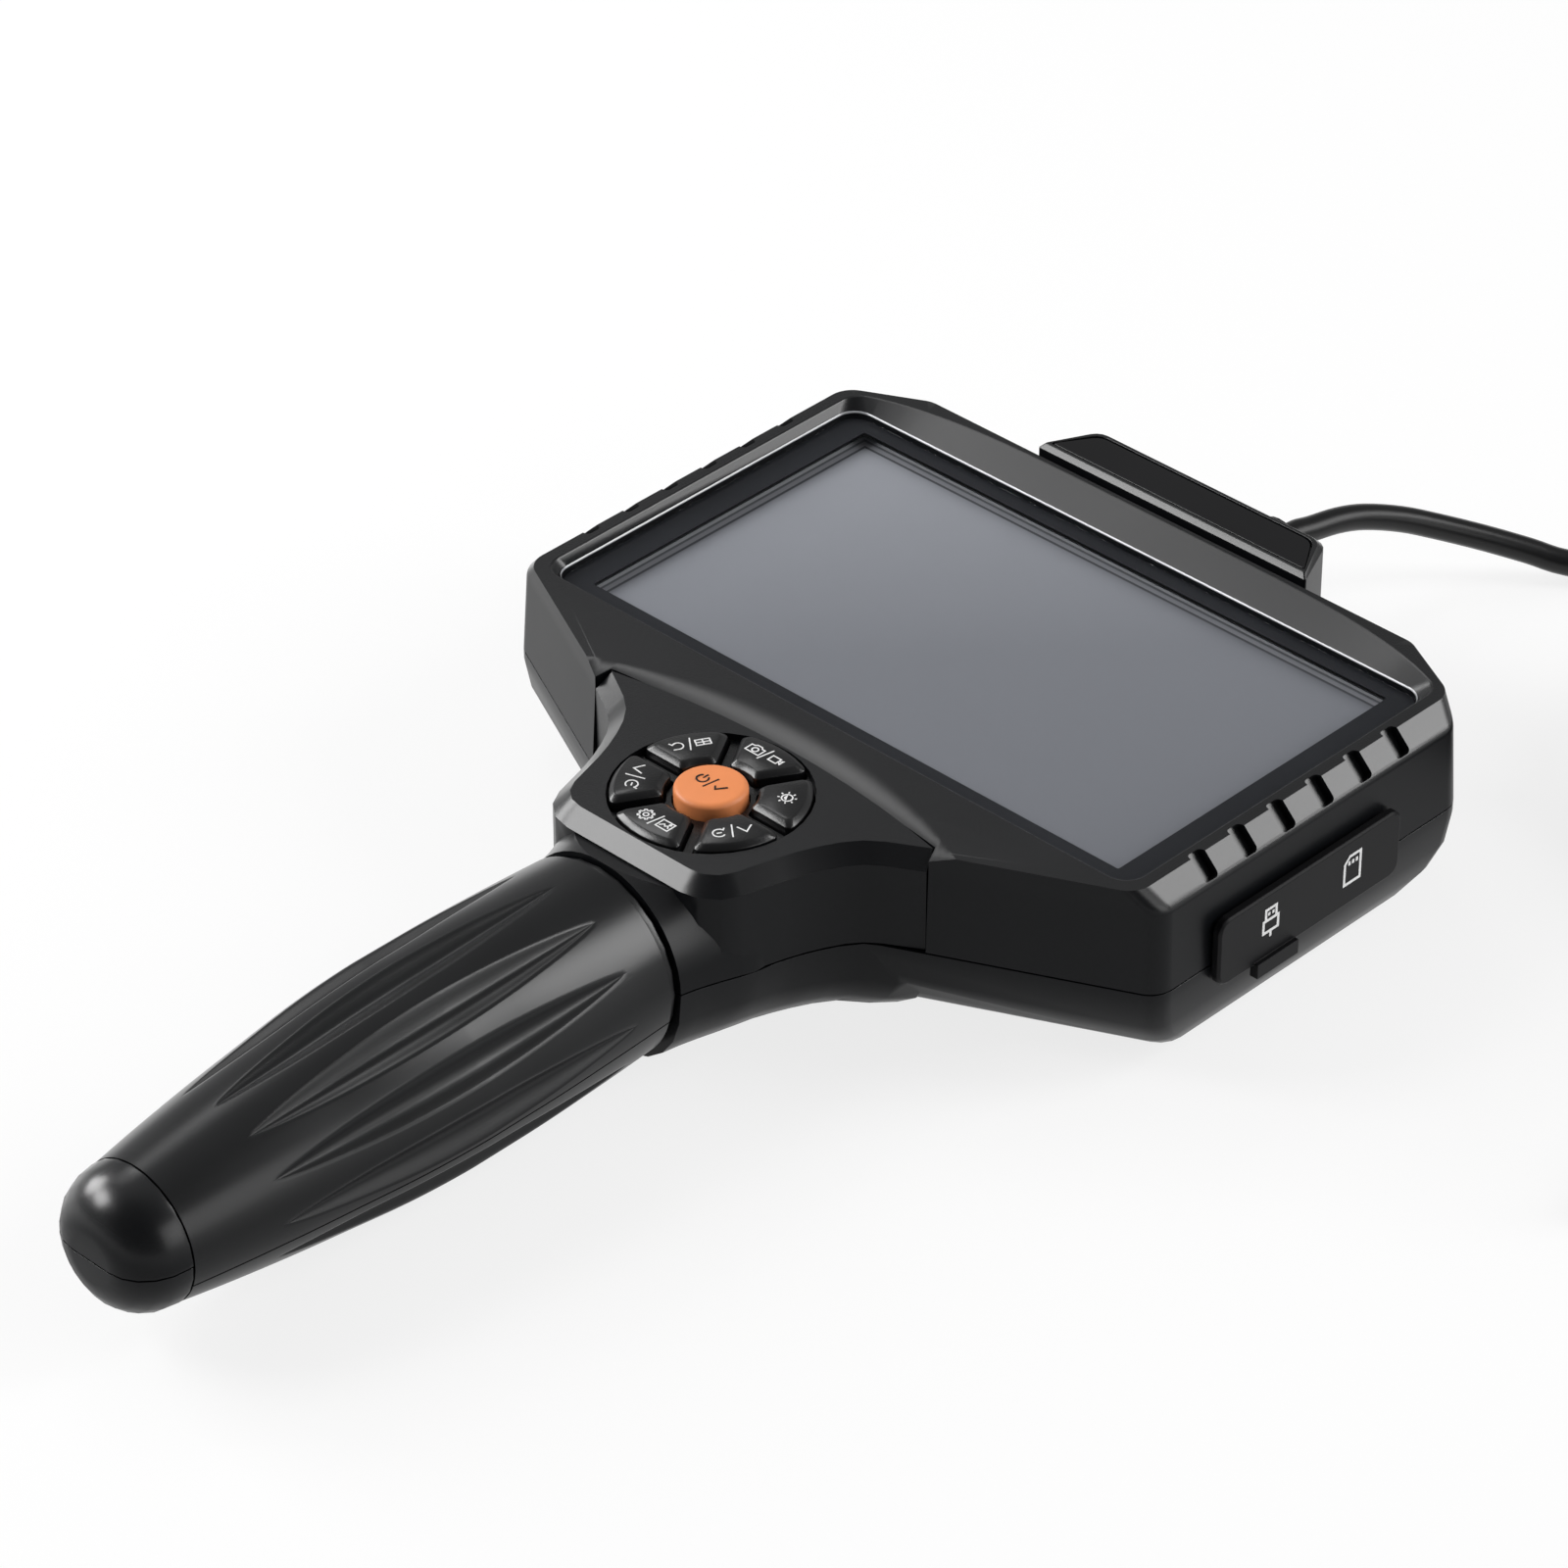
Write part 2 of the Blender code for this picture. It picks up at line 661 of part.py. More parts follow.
STANDOFFS = [(side * (KEY_BOARD_HALF - STANDOFF_RADIUS - GAP), KEYPAD_Y) for side in (1, -1)]
BAY_LOW_Y = FLAP_BOTTOM_Y + FLAP_OVERLAP
BAY_HIGH_Y = FLAP_TOP_Y - FLAP_OVERLAP
HINGE_Z = PARTING_HEIGHT + FLAP_ABOVE_PARTING
BAY_HIGH_Z = HINGE_Z - FLAP_OVERLAP
BAY_LOW_Z = HINGE_Z - FLAP_HEIGHT + FLAP_OVERLAP
WALL_OUTER = WALL_HALF + HEAD_DRAFT
PORT_MOUTH = WALL_OUTER - BAY_DEPTH
BOARD_HALF_X = PORT_MOUTH - BOARD_BAY_GAP
BOARD_HALF_Y = WINDOW_HEIGHT / 2 - BOARD_INSET


def port_bay():
    return box(
        "port_bay_cutter",
        (PORT_MOUTH, BAY_LOW_Y, BAY_LOW_Z),
        (WALL_OUTER + HEAD_WALL, BAY_HIGH_Y, BAY_HIGH_Z),
    )


def cable_hole():
    body = bmesh.new()
    turn = Matrix.Translation((0.0, HEAD_TOP, PARTING_HEIGHT)) @ Matrix.Rotation(pi / 2, 4, "X")
    bmesh.ops.create_cone(
        body, cap_ends=True, segments=POST_SIDES, radius1=CABLE_HOLE, radius2=CABLE_HOLE,
        depth=4 * HEAD_WALL, matrix=turn,
    )
    return from_bmesh("cable_hole_cutter", body)


PORT_BAY = port_bay()
CABLE_WAY = cable_hole()


# Grip surface, core and tail cap share one profile
GRIP_LENGTH = GRIP_END - GRIP_START
GRIP_CURVE = [
    (point.x, point.y)
    for point in smooth([(GRIP_START + share * GRIP_LENGTH, radius) for share, radius in GRIP_SHAPE], 2)
]


# The core's facets are turned a little, so that none lines up with a facet of the sleeve
CORE_PHASE = pi / TURN_STEPS / 2


def grip_radius(along):
    return between(GRIP_CURVE, along)


def sleeve_radius(along):
    """Flare of the sleeve from the collar up to the deck's wall."""
    share = max(0.0, (SLEEVE_END - along) / (SLEEVE_END - SLEEVE_START))
    wide = between(DECK_HALF_TABLE, SLEEVE_START)
    return COLLAR_RADIUS + (wide - COLLAR_RADIUS) * share**SLEEVE_POWER


def handle_core(name):
    """Turned core inside the grip, with the tail cap at its end."""
    cap = grip_radius(GRIP_END)
    tail = GRIP_END + GAP + CAP_LENGTH
    steps = 5
    round_reach = cap - CAP_FLAT
    crown = []
    for step in range(steps + 1):
        angle = pi / 2 * step / steps
        crown.append((CAP_FLAT + round_reach * sin(angle), tail - CAP_CROWN * (1 - cos(angle))))
    waist = [(radius - GRIP_WALL - GAP, along) for along, radius in reversed(GRIP_CURVE)]
    waist[0] = (waist[0][0], GRIP_END + GAP)
    start = SLEEVE_END - 2 * HEAD_WALL
    profile = [(0.0, tail), *crown, (cap, GRIP_END + GAP), *waist, (waist[-1][0], start), (0.0, start)]
    return turned(name, profile, TURN_STEPS, phase=CORE_PHASE, **ALONG_GRIP)


def core_bore(name):
    start = SLEEVE_END - 3 * HEAD_WALL
    profile = [(0.0, CORE_END), (CORE_BORE, CORE_END), (CORE_BORE, start), (0.0, start)]
    return turned(name, profile, TURN_STEPS, phase=CORE_PHASE, **ALONG_GRIP)


def make_head_front_shell():
    """Front moulding of the head: rim, recess for the glass, sloping top bezel and side slots."""
    rings = [
        lift(head_outline(WALL_HALF, HEAD_DRAFT), FRONT_LOW),
        lift(head_outline(WALL_HALF, 0.0), RIM_Z - SIDE_CHAMFER),
        lift(head_outline(RIM_HALF, 0.0), RIM_Z),
    ]
    shell = loft("head_front_shell", rings, SHELL)
    recess_top = RIM_Z + RIM_RISE
    lean = RIM_LEAN * 2
    steps = 16
    seat, mouth = [], []
    for step in range(steps + 1):
        x = 1 - 2 * step / steps
        fall = ARCH_FALL * abs(x) ** ARCH_POWER
        seat.append(((GLASS_HALF + GAP) * x, GLASS_TOP + GAP))
        mouth.append(((GLASS_HALF + GAP + lean) * x, GLASS_TOP + (TOP_BEZEL - fall) * 2))
    seat += [(side * (GLASS_HALF + GAP), GLASS_BOTTOM - GAP) for side in (-1, 1)]
    mouth += [(side * (GLASS_HALF + GAP + lean), GLASS_BOTTOM - GAP - lean) for side in (-1, 1)]
    recess = loft(
        "glass_recess_cutter",
        [lift(seat, LEDGE_HIGH), lift(seat, GLASS_Z), lift(mouth, recess_top)],
    )
    half = WINDOW_WIDTH / 2 + LEDGE_SETBACK
    high = WINDOW_HEIGHT / 2 + LEDGE_SETBACK
    window = box("window_cutter", (-half, -high, LEDGE_LOW - GAP), (half, high, GLASS_Z))
    hollow = prism(
        "front_hollow_cutter", [head_outline(WALL_HALF, -HEAD_WALL)], FRONT_LOW - HEAD_WALL, LEDGE_LOW
    )
    seam = prism("deck_seam_cutter", [deck_seam(GAP)], FRONT_LOW - HEAD_WALL, RIM_Z + HEAD_WALL)
    band_steps = 12
    corner = DECK_TIP[0] + BAND_CORNER_RUN - GAP
    corner_y = meet(
        edge_line(DECK_TIP, (RIM_HALF, SIDE_BOTTOM)), (Vector((1.0, 0.0)), corner), 0.0
    )[1]
    sections = []
    for step in range(band_steps + 1):
        x = corner * (1 - 2 * step / band_steps)
        top = BAND_TOP - arc_drop(corner, BAND_TOP - corner_y, x)
        reach = BAND_WIDTH * 2
        sections.append([
            (x, top + reach, RIM_Z + reach * tan(BAND_SLOPE)),
            (x, top - reach, RIM_Z - reach * tan(BAND_SLOPE)),
            (x, top - reach, RIM_Z + reach),
        ])
    band = loft("band_cutter", sections)
    slots = bmesh.new()
    middle = (RIM_HALF + WALL_HALF) / 2
    for side in (1, -1):
        for number in range(SLOT_COUNT):
            y = SLOT_SHIFT + (number - (SLOT_COUNT - 1) / 2) * SLOT_PITCH
            z = RIM_Z - SIDE_CHAMFER / 2 + SLOT_RAISE
            place = Matrix.Translation((side * (middle - SLOT_RAISE), y, z))
            lean_over = Matrix.Rotation(side * pi / 4, 4, "Y")
            size = Matrix.Diagonal((SLOT_LENGTH, SLOT_WIDTH, 2 * SLOT_DEPTH, 1.0))
            bmesh.ops.create_cube(slots, size=1.0, matrix=place @ lean_over @ size)
    slot_cutter = from_bmesh("slot_cutter", slots)
    post_joint = posts("front_posts", HEAD_POSTS, POST_RADIUS, FRONT_LOW, LEDGE_LOW + LEDGE_THICKNESS / 2)
    pilots = posts(
        "front_pilots", HEAD_POSTS, SCREW_RADIUS + GAP, FRONT_LOW - GAP, PARTING_HEIGHT + SCREW_GRIP + GAP
    )
    cut(shell, hollow)
    join(shell, post_joint)
    cut(shell, recess, window, seam, band, slot_cutter, pilots, PORT_BAY, CABLE_WAY)
    return shell


def sector(grow, turn):
    """Plan outline of one key about the keypad's middle, with even gaps to its neighbours."""
    inner = KEY_INNER - grow
    outer = KEY_OUTER + grow
    gap = KEY_SPACING / 2 - grow
    half_inner = radians(30) - asin(gap / inner)
    half_outer = radians(30) - asin(gap / outer)
    points = []
    for step in range(5):
        angle = turn + half_outer * (step / 2 - 1)
        corner = KEY_CORNER if step in (0, 4) else 0.0
        points.append((outer * cos(angle), outer * sin(angle), corner))
    for step in range(3):
        angle = turn + half_inner * (1 - step)
        corner = KEY_CORNER if step in (0, 2) else 0.0
        points.append((inner * cos(angle), inner * sin(angle), corner))
    return rounded(points, 2)


KEY_NAMES = (
    "key_upper_right", "key_top", "key_upper_left", "key_lower_left", "key_bottom", "key_lower_right",
)


def make_keys():
    """Six keys that stand in the deck's openings, each kept in by a flange under the floor."""
    top = PAD_Z + KEY_RISE
    for number, name in enumerate(KEY_NAMES):
        turn = radians(30 + 60 * number)
        middle = Vector((KEY_MIDDLE * cos(turn), KEY_MIDDLE * sin(turn)))
        levels = [
            (FLANGE_REACH, FLANGE_LOW),
            (FLANGE_REACH, FLANGE_HIGH),
            (0.0, FLANGE_HIGH),
            (0.0, top - KEY_BEVEL),
            (-KEY_BEVEL, top),
        ]
        rings = [
            [(x - middle.x, y - middle.y, height - FLANGE_LOW) for x, y in sector(grow, turn)]
            for grow, height in levels
        ]
        loft(name, rings, KEY_RUBBER, place=(middle.x, KEYPAD_Y + middle.y, FLANGE_LOW))


def make_ok_button():
    """Domed middle button with its own flange."""
    radius = OK_DIAMETER / 2
    height = PAD_Z + OK_RISE - FLANGE_LOW
    steps = 3
    edge = []
    for step in range(steps + 1):
        angle = pi / 2 * step / steps
        edge.append((radius - OK_ROUND * (1 - sin(angle)), height - OK_ROUND * (1 - cos(angle))))
    flange = radius + KEY_CLEARANCE + GAP
    profile = [(0.0, height), *edge, (radius, KEY_FLANGE), (flange, KEY_FLANGE), (flange, 0.0), (0.0, 0.0)]
    turned("ok_button", profile, TURN_STEPS, ORANGE, place=(0.0, KEYPAD_Y, FLANGE_LOW))


def make_keypad_deck():
    """Front moulding of the neck, with the keypad recess, which runs on as half of the grip's core."""
    rings = [
        lift(with_arc(DECK), PARTING_HEIGHT - HEAD_WALL),
        lift(with_arc(DECK), PAD_Z - DECK_CHAMFER),
        lift(with_arc(PAD), PAD_Z),
    ]
    deck = loft("keypad_deck", rings, SHELL)
    steps = 5
    flare = []
    for step in range(steps + 1):
        along = SLEEVE_END + (SLEEVE_START - SLEEVE_END) * step / steps
        flare.append((sleeve_radius(along), along))
    inside = SLEEVE_START - DECK_WALL
    profile = [(0.0, SLEEVE_END), *flare, (flare[-1][0], inside), (0.0, inside)]
    sleeve = turned("deck_sleeve", profile, TURN_STEPS * 2, **ALONG_GRIP)
    top = PARTING_HEIGHT + COLLAR_RADIUS
    low = PAD_Z - DECK_CHAMFER - GAP
    foot = PAD_BOTTOM - DECK_CHAMFER
    wide = COLLAR_RADIUS * 2
    dip = [
        [
            (x, -SLEEVE_END - GAP, top),
            (x, -SLEEVE_END - GAP, top + SLEEVE_DIP * 2),
            (x, -inside, top + SLEEVE_DIP * 2),
            (x, -inside, low),
            (x, foot, low),
        ]
        for x in (-wide, wide)
    ]
    cut(sleeve, loft("sleeve_dip_cutter", dip))
    core = handle_core("deck_core")
    bore = core_bore("deck_bore_cutter")
    throat = beside_pad(DECK_CHAMFER - DECK_WALL)[:PAD_SIDE_COUNT]
    lead_in = [(side * (DECK_TIP[0] - HEAD_WALL * 2), PAD_TOP + HEAD_WALL) for side in (1, -1)]
    hollow = prism(
        "deck_hollow_cutter",
        [throat[:-1] + lead_in + [(-x, y) for x, y in reversed(throat[:-1])]],
        PARTING_HEIGHT - 2 * HEAD_WALL,
        FLOOR_LOW,
    )
    middle = [(0.0, KEYPAD_Y)]
    recess = posts("recess_cutter", middle, RECESS_RADIUS, FLOOR_HIGH, PAD_Z + HEAD_WALL, sides=36)
    openings = [
        prism(
            name + "_opening",
            [[(x, y + KEYPAD_Y) for x, y in sector(KEY_CLEARANCE, radians(30 + 60 * number))]],
            FLOOR_LOW - HEAD_WALL,
            PAD_Z,
        )
        for number, name in enumerate(KEY_NAMES)
    ]
    ok_reach = OK_DIAMETER / 2 + KEY_CLEARANCE
    openings.append(posts("ok_opening", middle, ok_reach, FLOOR_LOW - HEAD_WALL, PAD_Z, sides=TURN_STEPS))
    in_floor = FLOOR_LOW + DECK_FLOOR / 2
    deck_posts = posts("deck_posts", DECK_POSTS, POST_RADIUS, FRONT_LOW - GAP, in_floor)
    under_sleeve = PARTING_HEIGHT + COLLAR_RADIUS - NECK_POST_COVER
    neck_post = posts("neck_post", NECK_POSTS, POST_RADIUS, FRONT_LOW - GAP, under_sleeve)
    standoffs = posts("key_standoffs", STANDOFFS, STANDOFF_RADIUS, KEY_BOARD_HIGH + GAP, in_floor)
    pilot_top = PARTING_HEIGHT + SCREW_GRIP + GAP
    pilots = posts("deck_pilots", DECK_POSTS + NECK_POSTS, SCREW_RADIUS + GAP, FRONT_LOW - GAP, pilot_top)
    wide = WALL_HALF
    below = box("deck_below_cutter", (-wide, -GRIP_END - wide, -wide), (wide, wide, FRONT_LOW))
    neck_bore = turned(
        "deck_neck_cutter",
        [
            (0.0, SLEEVE_END - HEAD_WALL),
            (COLLAR_RADIUS - NECK_WALL, SLEEVE_END - HEAD_WALL),
            (COLLAR_RADIUS - NECK_WALL, -PAD_BOTTOM - DECK_WALL),
            (0.0, -PAD_BOTTOM - DECK_WALL),
        ],
        TURN_STEPS,
        **ALONG_GRIP,
    )
    join(deck, sleeve, core)
    cut(deck, hollow, neck_bore, bore)
    join(deck, deck_posts, neck_post, standoffs)
    cut(deck, recess, *openings, pilots, below)
    return deck


def pan_rings(shrink, top):
    """Rings of the head's back pan, from its open top down to the flat back, set in by shrink."""
    rings = [
        lift(head_outline(WALL_HALF, HEAD_DRAFT - shrink), top),
        lift(head_outline(WALL_HALF, HEAD_DRAFT - shrink), PARTING_HEIGHT - BACK_STRAIGHT),
    ]
    depth = PARTING_HEIGHT - BACK_STRAIGHT - shrink
    for step in range(1, ROUND_STEPS + 1):
        angle = pi / 2 * step / ROUND_STEPS
        inset = BACK_ROUND_ENDS * (1 - cos(angle)) + shrink - HEAD_DRAFT
        side = WALL_HALF + (BACK_ROUND_ENDS - BACK_ROUND_SIDE) * (1 - cos(angle))
        rings.append(lift(head_outline(side, -inset), PARTING_HEIGHT - BACK_STRAIGHT - depth * sin(angle)))
    return rings


def neck_rings(shrink, top, start, end):
    """Half-round sections of the neck's back, wide and flat at the head and round at the collar."""
    stations = 12
    rings = []
    for station in range(stations + 1):
        along = start + (end - start) * station / stations
        share = min(1.0, max(0.0, (along + DECK_TIP[1]) / (SLEEVE_START + DECK_TIP[1])))
        half = between(DECK_HALF_TABLE, along) if along < SLEEVE_START else sleeve_radius(along)
        half -= shrink
        deep = PARTING_HEIGHT - GAP - shrink
        power = 2 / (NECK_POWER_HEAD + (NECK_POWER_COLLAR - NECK_POWER_HEAD) * share)
        steps = 12
        ring = [(half, -along, top)]
        for step in range(steps + 1):
            angle = pi * step / steps
            reach = abs(cos(angle)) ** power * (1 if angle <= pi / 2 else -1)
            ring.append((half * reach, -along, PARTING_HEIGHT - deep * sin(angle) ** power))
        ring.append((-half, -along, top))
        rings.append(ring)
    return rings


def make_rear_shell():
    """Back moulding: pan behind the display, neck, half of the grip's core and of the tail cap."""
    shell = loft("rear_shell", pan_rings(0.0, PARTING_HEIGHT + HEAD_WALL), SHELL)
    start = -DECK_TIP[1] - 2 * HEAD_WALL
    neck = loft("rear_neck", neck_rings(0.0, PARTING_HEIGHT + 2 * HEAD_WALL, start, SLEEVE_END))
    core = handle_core("rear_core")
    hollow = loft("rear_hollow_cutter", pan_rings(HEAD_WALL, PARTING_HEIGHT + 3 * HEAD_WALL))
    neck_hollow = loft(
        "rear_neck_cutter",
        neck_rings(HEAD_WALL, PARTING_HEIGHT + 4 * HEAD_WALL, start - 4 * HEAD_WALL, SLEEVE_END - HEAD_WALL),
    )
    bore = core_bore("rear_bore_cutter")
    wide = WALL_HALF + HEAD_WALL
    above = box("rear_above_cutter", (-wide, -GRIP_END - wide, REAR_HIGH), (wide, wide, PARTING_HEIGHT * 3))
    bosses, holes = bmesh.new(), bmesh.new()
    sinks = bmesh.new()
    for x, y, sink in SCREW_PLACES:
        add_post(bosses, x, y, BOSS_RADIUS, 0.0, REAR_HIGH + GAP, 16)
        add_post(holes, x, y, SCREW_RADIUS + GAP, sink, REAR_HIGH + HEAD_WALL)
        add_post(sinks, x, y, SCREW_HEAD_RADIUS + GAP, -HEAD_WALL, sink + SCREW_HEAD_HEIGHT)
    bosses = from_bmesh("rear_bosses", bosses)
    skin = HEAD_WALL / 4
    inside = loft("boss_keeper", pan_rings(skin, PARTING_HEIGHT + HEAD_WALL))
    neck_inside = neck_rings(skin, PARTING_HEIGHT + 2 * HEAD_WALL, start, SLEEVE_END)
    join(inside, loft("neck_boss_keeper", neck_inside))
    combine(bosses, inside, "INTERSECT")
    holes = from_bmesh("rear_screw_holes", holes)
    sinks = from_bmesh("rear_screw_sinks", sinks)
    board_x = BOARD_HALF_X - BOARD_REST_INSET[0]
    board_y = BOARD_HALF_Y - BOARD_REST_INSET[1]
    rests = posts(
        "board_rests",
        [(side * board_x, level * board_y) for side in (1, -1) for level in (1, -1)],
        BOARD_REST_RADIUS,
        HEAD_WALL / 2,
        MAIN_BOARD_LOW - GAP,
    )
    join(shell, neck, core)
    cut(shell, hollow, neck_hollow, bore)
    join(shell, bosses, rests)
    cut(shell, holes, sinks, PORT_BAY, CABLE_WAY, above)
    return shell


def make_display():
    """Cover glass on its tape, and the panel in its frame under the ledge."""
    outline = rounded_rectangle(GLASS_HALF, GLASS_BOTTOM, GLASS_TOP, GLASS_CORNER)
    prism("cover_glass", [outline], GLASS_LOW, GLASS_Z, GLASS)
    half = WINDOW_WIDTH / 2 + LEDGE_SETBACK
    high = WINDOW_HEIGHT / 2 + LEDGE_SETBACK
    opening = [(half, -high), (half, high), (-half, high), (-half, -high)]
    tape = [offset(outline, -GAP), offset(opening, GAP)]
    prism("glass_tape", tape, TAPE_HIGH - TAPE_THICKNESS, TAPE_HIGH, TAPE)
    half = WINDOW_WIDTH / 2 + LCD_MARGIN
    high = WINDOW_HEIGHT / 2 + LCD_MARGIN
    panel = box("lcd_panel", (-half, -high, LCD_LOW), (half, high, LCD_HIGH), SCREEN)
    around = [(half, -high), (half, high), (-half, high), (-half, -high)]
    outer = offset(around, GAP + LCD_FRAME_WALL)
    frame = prism(
        "lcd_frame", [outer, offset(around, -LCD_FRAME_LIP)], LCD_LOW - GAP - LCD_FRAME_WALL, LCD_HIGH, PORT
    )
    pocket = box(
        "lcd_pocket_cutter",
        (-half - GAP, -high - GAP, LCD_LOW - GAP),
        (half + GAP, high + GAP, LCD_HIGH + GAP),
    )
    cut(frame, pocket)
    return panel


def make_boards():
    """Main board with its shield and sockets, and the key board with its switches and ribbon."""
    half_x, half_y = BOARD_HALF_X, BOARD_HALF_Y
    board = box("main_board", (-half_x, -half_y, MAIN_BOARD_LOW), (half_x, half_y, MAIN_BOARD_HIGH), BOARD)
    fitted = bmesh.new()
    sink = BOARD_THICKNESS / 2
    socket_y = RIBBON_LANDING + GAP + SOCKET_SIZE[1] / 2 - half_y
    for (x, y), (wide, deep, tall) in (
        (SHIELD_PLACE, SHIELD_SIZE),
        (CHIP_PLACE, CHIP_SIZE),
        ((0.0, socket_y), SOCKET_SIZE),
    ):
        low = (x - wide / 2, y - deep / 2, MAIN_BOARD_HIGH - sink)
        add_box(fitted, low, (x + wide / 2, y + deep / 2, MAIN_BOARD_HIGH + tall))
    join(board, from_bmesh("board_chips", fitted))
    low = MAIN_BOARD_HIGH + GAP
    for name, size, place, material in (
        ("usb_port", USB_SIZE, USB_PLACE, PORT),
        ("card_slot", CARD_SIZE, CARD_PLACE, PORT),
    ):
        deep, wide, tall = size
        near = PORT_MOUTH - GAP
        far = near - deep
        socket = box(name, (far, place - wide / 2, low), (near, place + wide / 2, low + tall), material)
        mouth = box(
            name + "_mouth",
            (far + PORT_WALL * 2, place - wide / 2 + PORT_WALL, low + PORT_WALL),
            (near + deep, place + wide / 2 - PORT_WALL, low + tall - PORT_WALL),
        )
        cut(socket, mouth)
    steps = 28
    oval = [
        (KEY_BOARD_HALF * cos(turn), KEYPAD_Y + KEY_BOARD_REACH * sin(turn))
        for turn in (2 * pi * step / steps for step in range(steps))
    ]
    prism("key_board", [oval], KEY_BOARD_LOW, KEY_BOARD_HIGH, BOARD)
    for number, (x, y) in enumerate(SWITCH_PLACES):
        half = SWITCH_SIZE / 2
        switch = box(
            f"tact_switch_{number + 1}",
            (x - half, y - half, SWITCH_LOW),
            (x + half, y + half, SWITCH_LOW + SWITCH_BODY),
            PORT,
        )
        in_body = SWITCH_LOW + SWITCH_BODY / 2
        join(switch, posts(f"plunger_{number + 1}", [(x, y)], half / 2, in_body, SWITCH_TOP))
    bottom = KEY_BOARD_LOW - GAP
    landing = MAIN_BOARD_HIGH + GAP
    thick = RIBBON_THICKNESS
    run = [
        (KEYPAD_Y + SWITCH_SIZE, bottom - thick),
        (KEYPAD_Y + KEY_BOARD_REACH, bottom - thick),
        (KEYPAD_Y + KEY_BOARD_REACH + SWITCH_SIZE, (bottom + landing) / 2),
        (-half_y - SWITCH_SIZE / 2, landing),
        (-half_y + RIBBON_LANDING, landing),
    ]
    path = smooth([Vector(point) for point in run], 3)
    strip = [(point.x, point.y) for point in path] + [(point.x, point.y + thick) for point in reversed(path)]
    rings = [[(x, y, z) for y, z in strip] for x in (-RIBBON_WIDTH / 2, RIBBON_WIDTH / 2)]
    loft("key_ribbon", rings, ORANGE)


def make_battery():
    """Round cell in the grip's core, with a tab at each end and a lead to the board."""
    end = CELL_START + CELL_LENGTH
    turned(
        "battery_cell",
        [(0.0, end), (CELL_RADIUS, end), (CELL_RADIUS, CELL_START), (0.0, CELL_START)],
        TURN_STEPS,
        CELL,
        **ALONG_GRIP,
    )
    for name, start in (
        ("battery_tab_front", CELL_START - GAP - TAB_THICKNESS),
        ("battery_tab_rear", end + GAP),
    ):
        stop = start + TAB_THICKNESS
        profile = [(0.0, stop), (TAB_RADIUS, stop), (TAB_RADIUS, start), (0.0, start)]
        turned(name, profile, POST_SIDES, PORT, **ALONG_GRIP)
    start = CELL_START - 2 * GAP - TAB_THICKNESS
    reach = BOARD_HALF_Y
    side = BOSS_RADIUS + WIRE_RADIUS + 3 * GAP
    route = [
        (TAB_RADIUS / 2, -start, PARTING_HEIGHT),
        (side, -SLEEVE_END + NECK_POST_SETBACK, PARTING_HEIGHT - WIRE_RADIUS),
        (side, KEYPAD_Y, PARTING_HEIGHT - POST_RADIUS),
        (side * 2, -reach - POST_RADIUS * 3, PARTING_HEIGHT - POST_RADIUS),
        (side * 2, -reach - GAP, (MAIN_BOARD_LOW + MAIN_BOARD_HIGH) / 2),
    ]
    tube("battery_lead", smooth(route, 4), WIRE_RADIUS, 1, ORANGE)


def make_port_flap():
    """Rubber cover over the ports, which swings out about its upper edge."""
    low_z = -FLAP_HEIGHT
    corners = [(FLAP_TOP_Y, low_z), (FLAP_TOP_Y, 0.0), (FLAP_BOTTOM_Y, 0.0), (FLAP_BOTTOM_Y, low_z)]
    outline = rounded([(y, z, FLAP_CORNER) for y, z in corners])
    edge = FLAP_THICKNESS / 4
    inner = WALL_OUTER + GAP
    levels = [(0.0, 0.0), (FLAP_THICKNESS - edge, 0.0), (FLAP_THICKNESS, edge)]
    rings = [[(x, y, z) for y, z in offset(outline, -inset)] for x, inset in levels]
    flap = loft("port_flap", rings, RUBBER, place=(inner, 0.0, HINGE_Z))
    low = HINGE_Z - FLAP_HEIGHT - FLAP_NUB_DROP
    start = inner + FLAP_THICKNESS / 2
    nub = box(
        "flap_nub",
        (start, FLAP_NUB[0], low),
        (inner + FLAP_THICKNESS + FLAP_NUB_RISE, FLAP_NUB[1], low + FLAP_NUB_HEIGHT),
    )
    join(flap, nub)


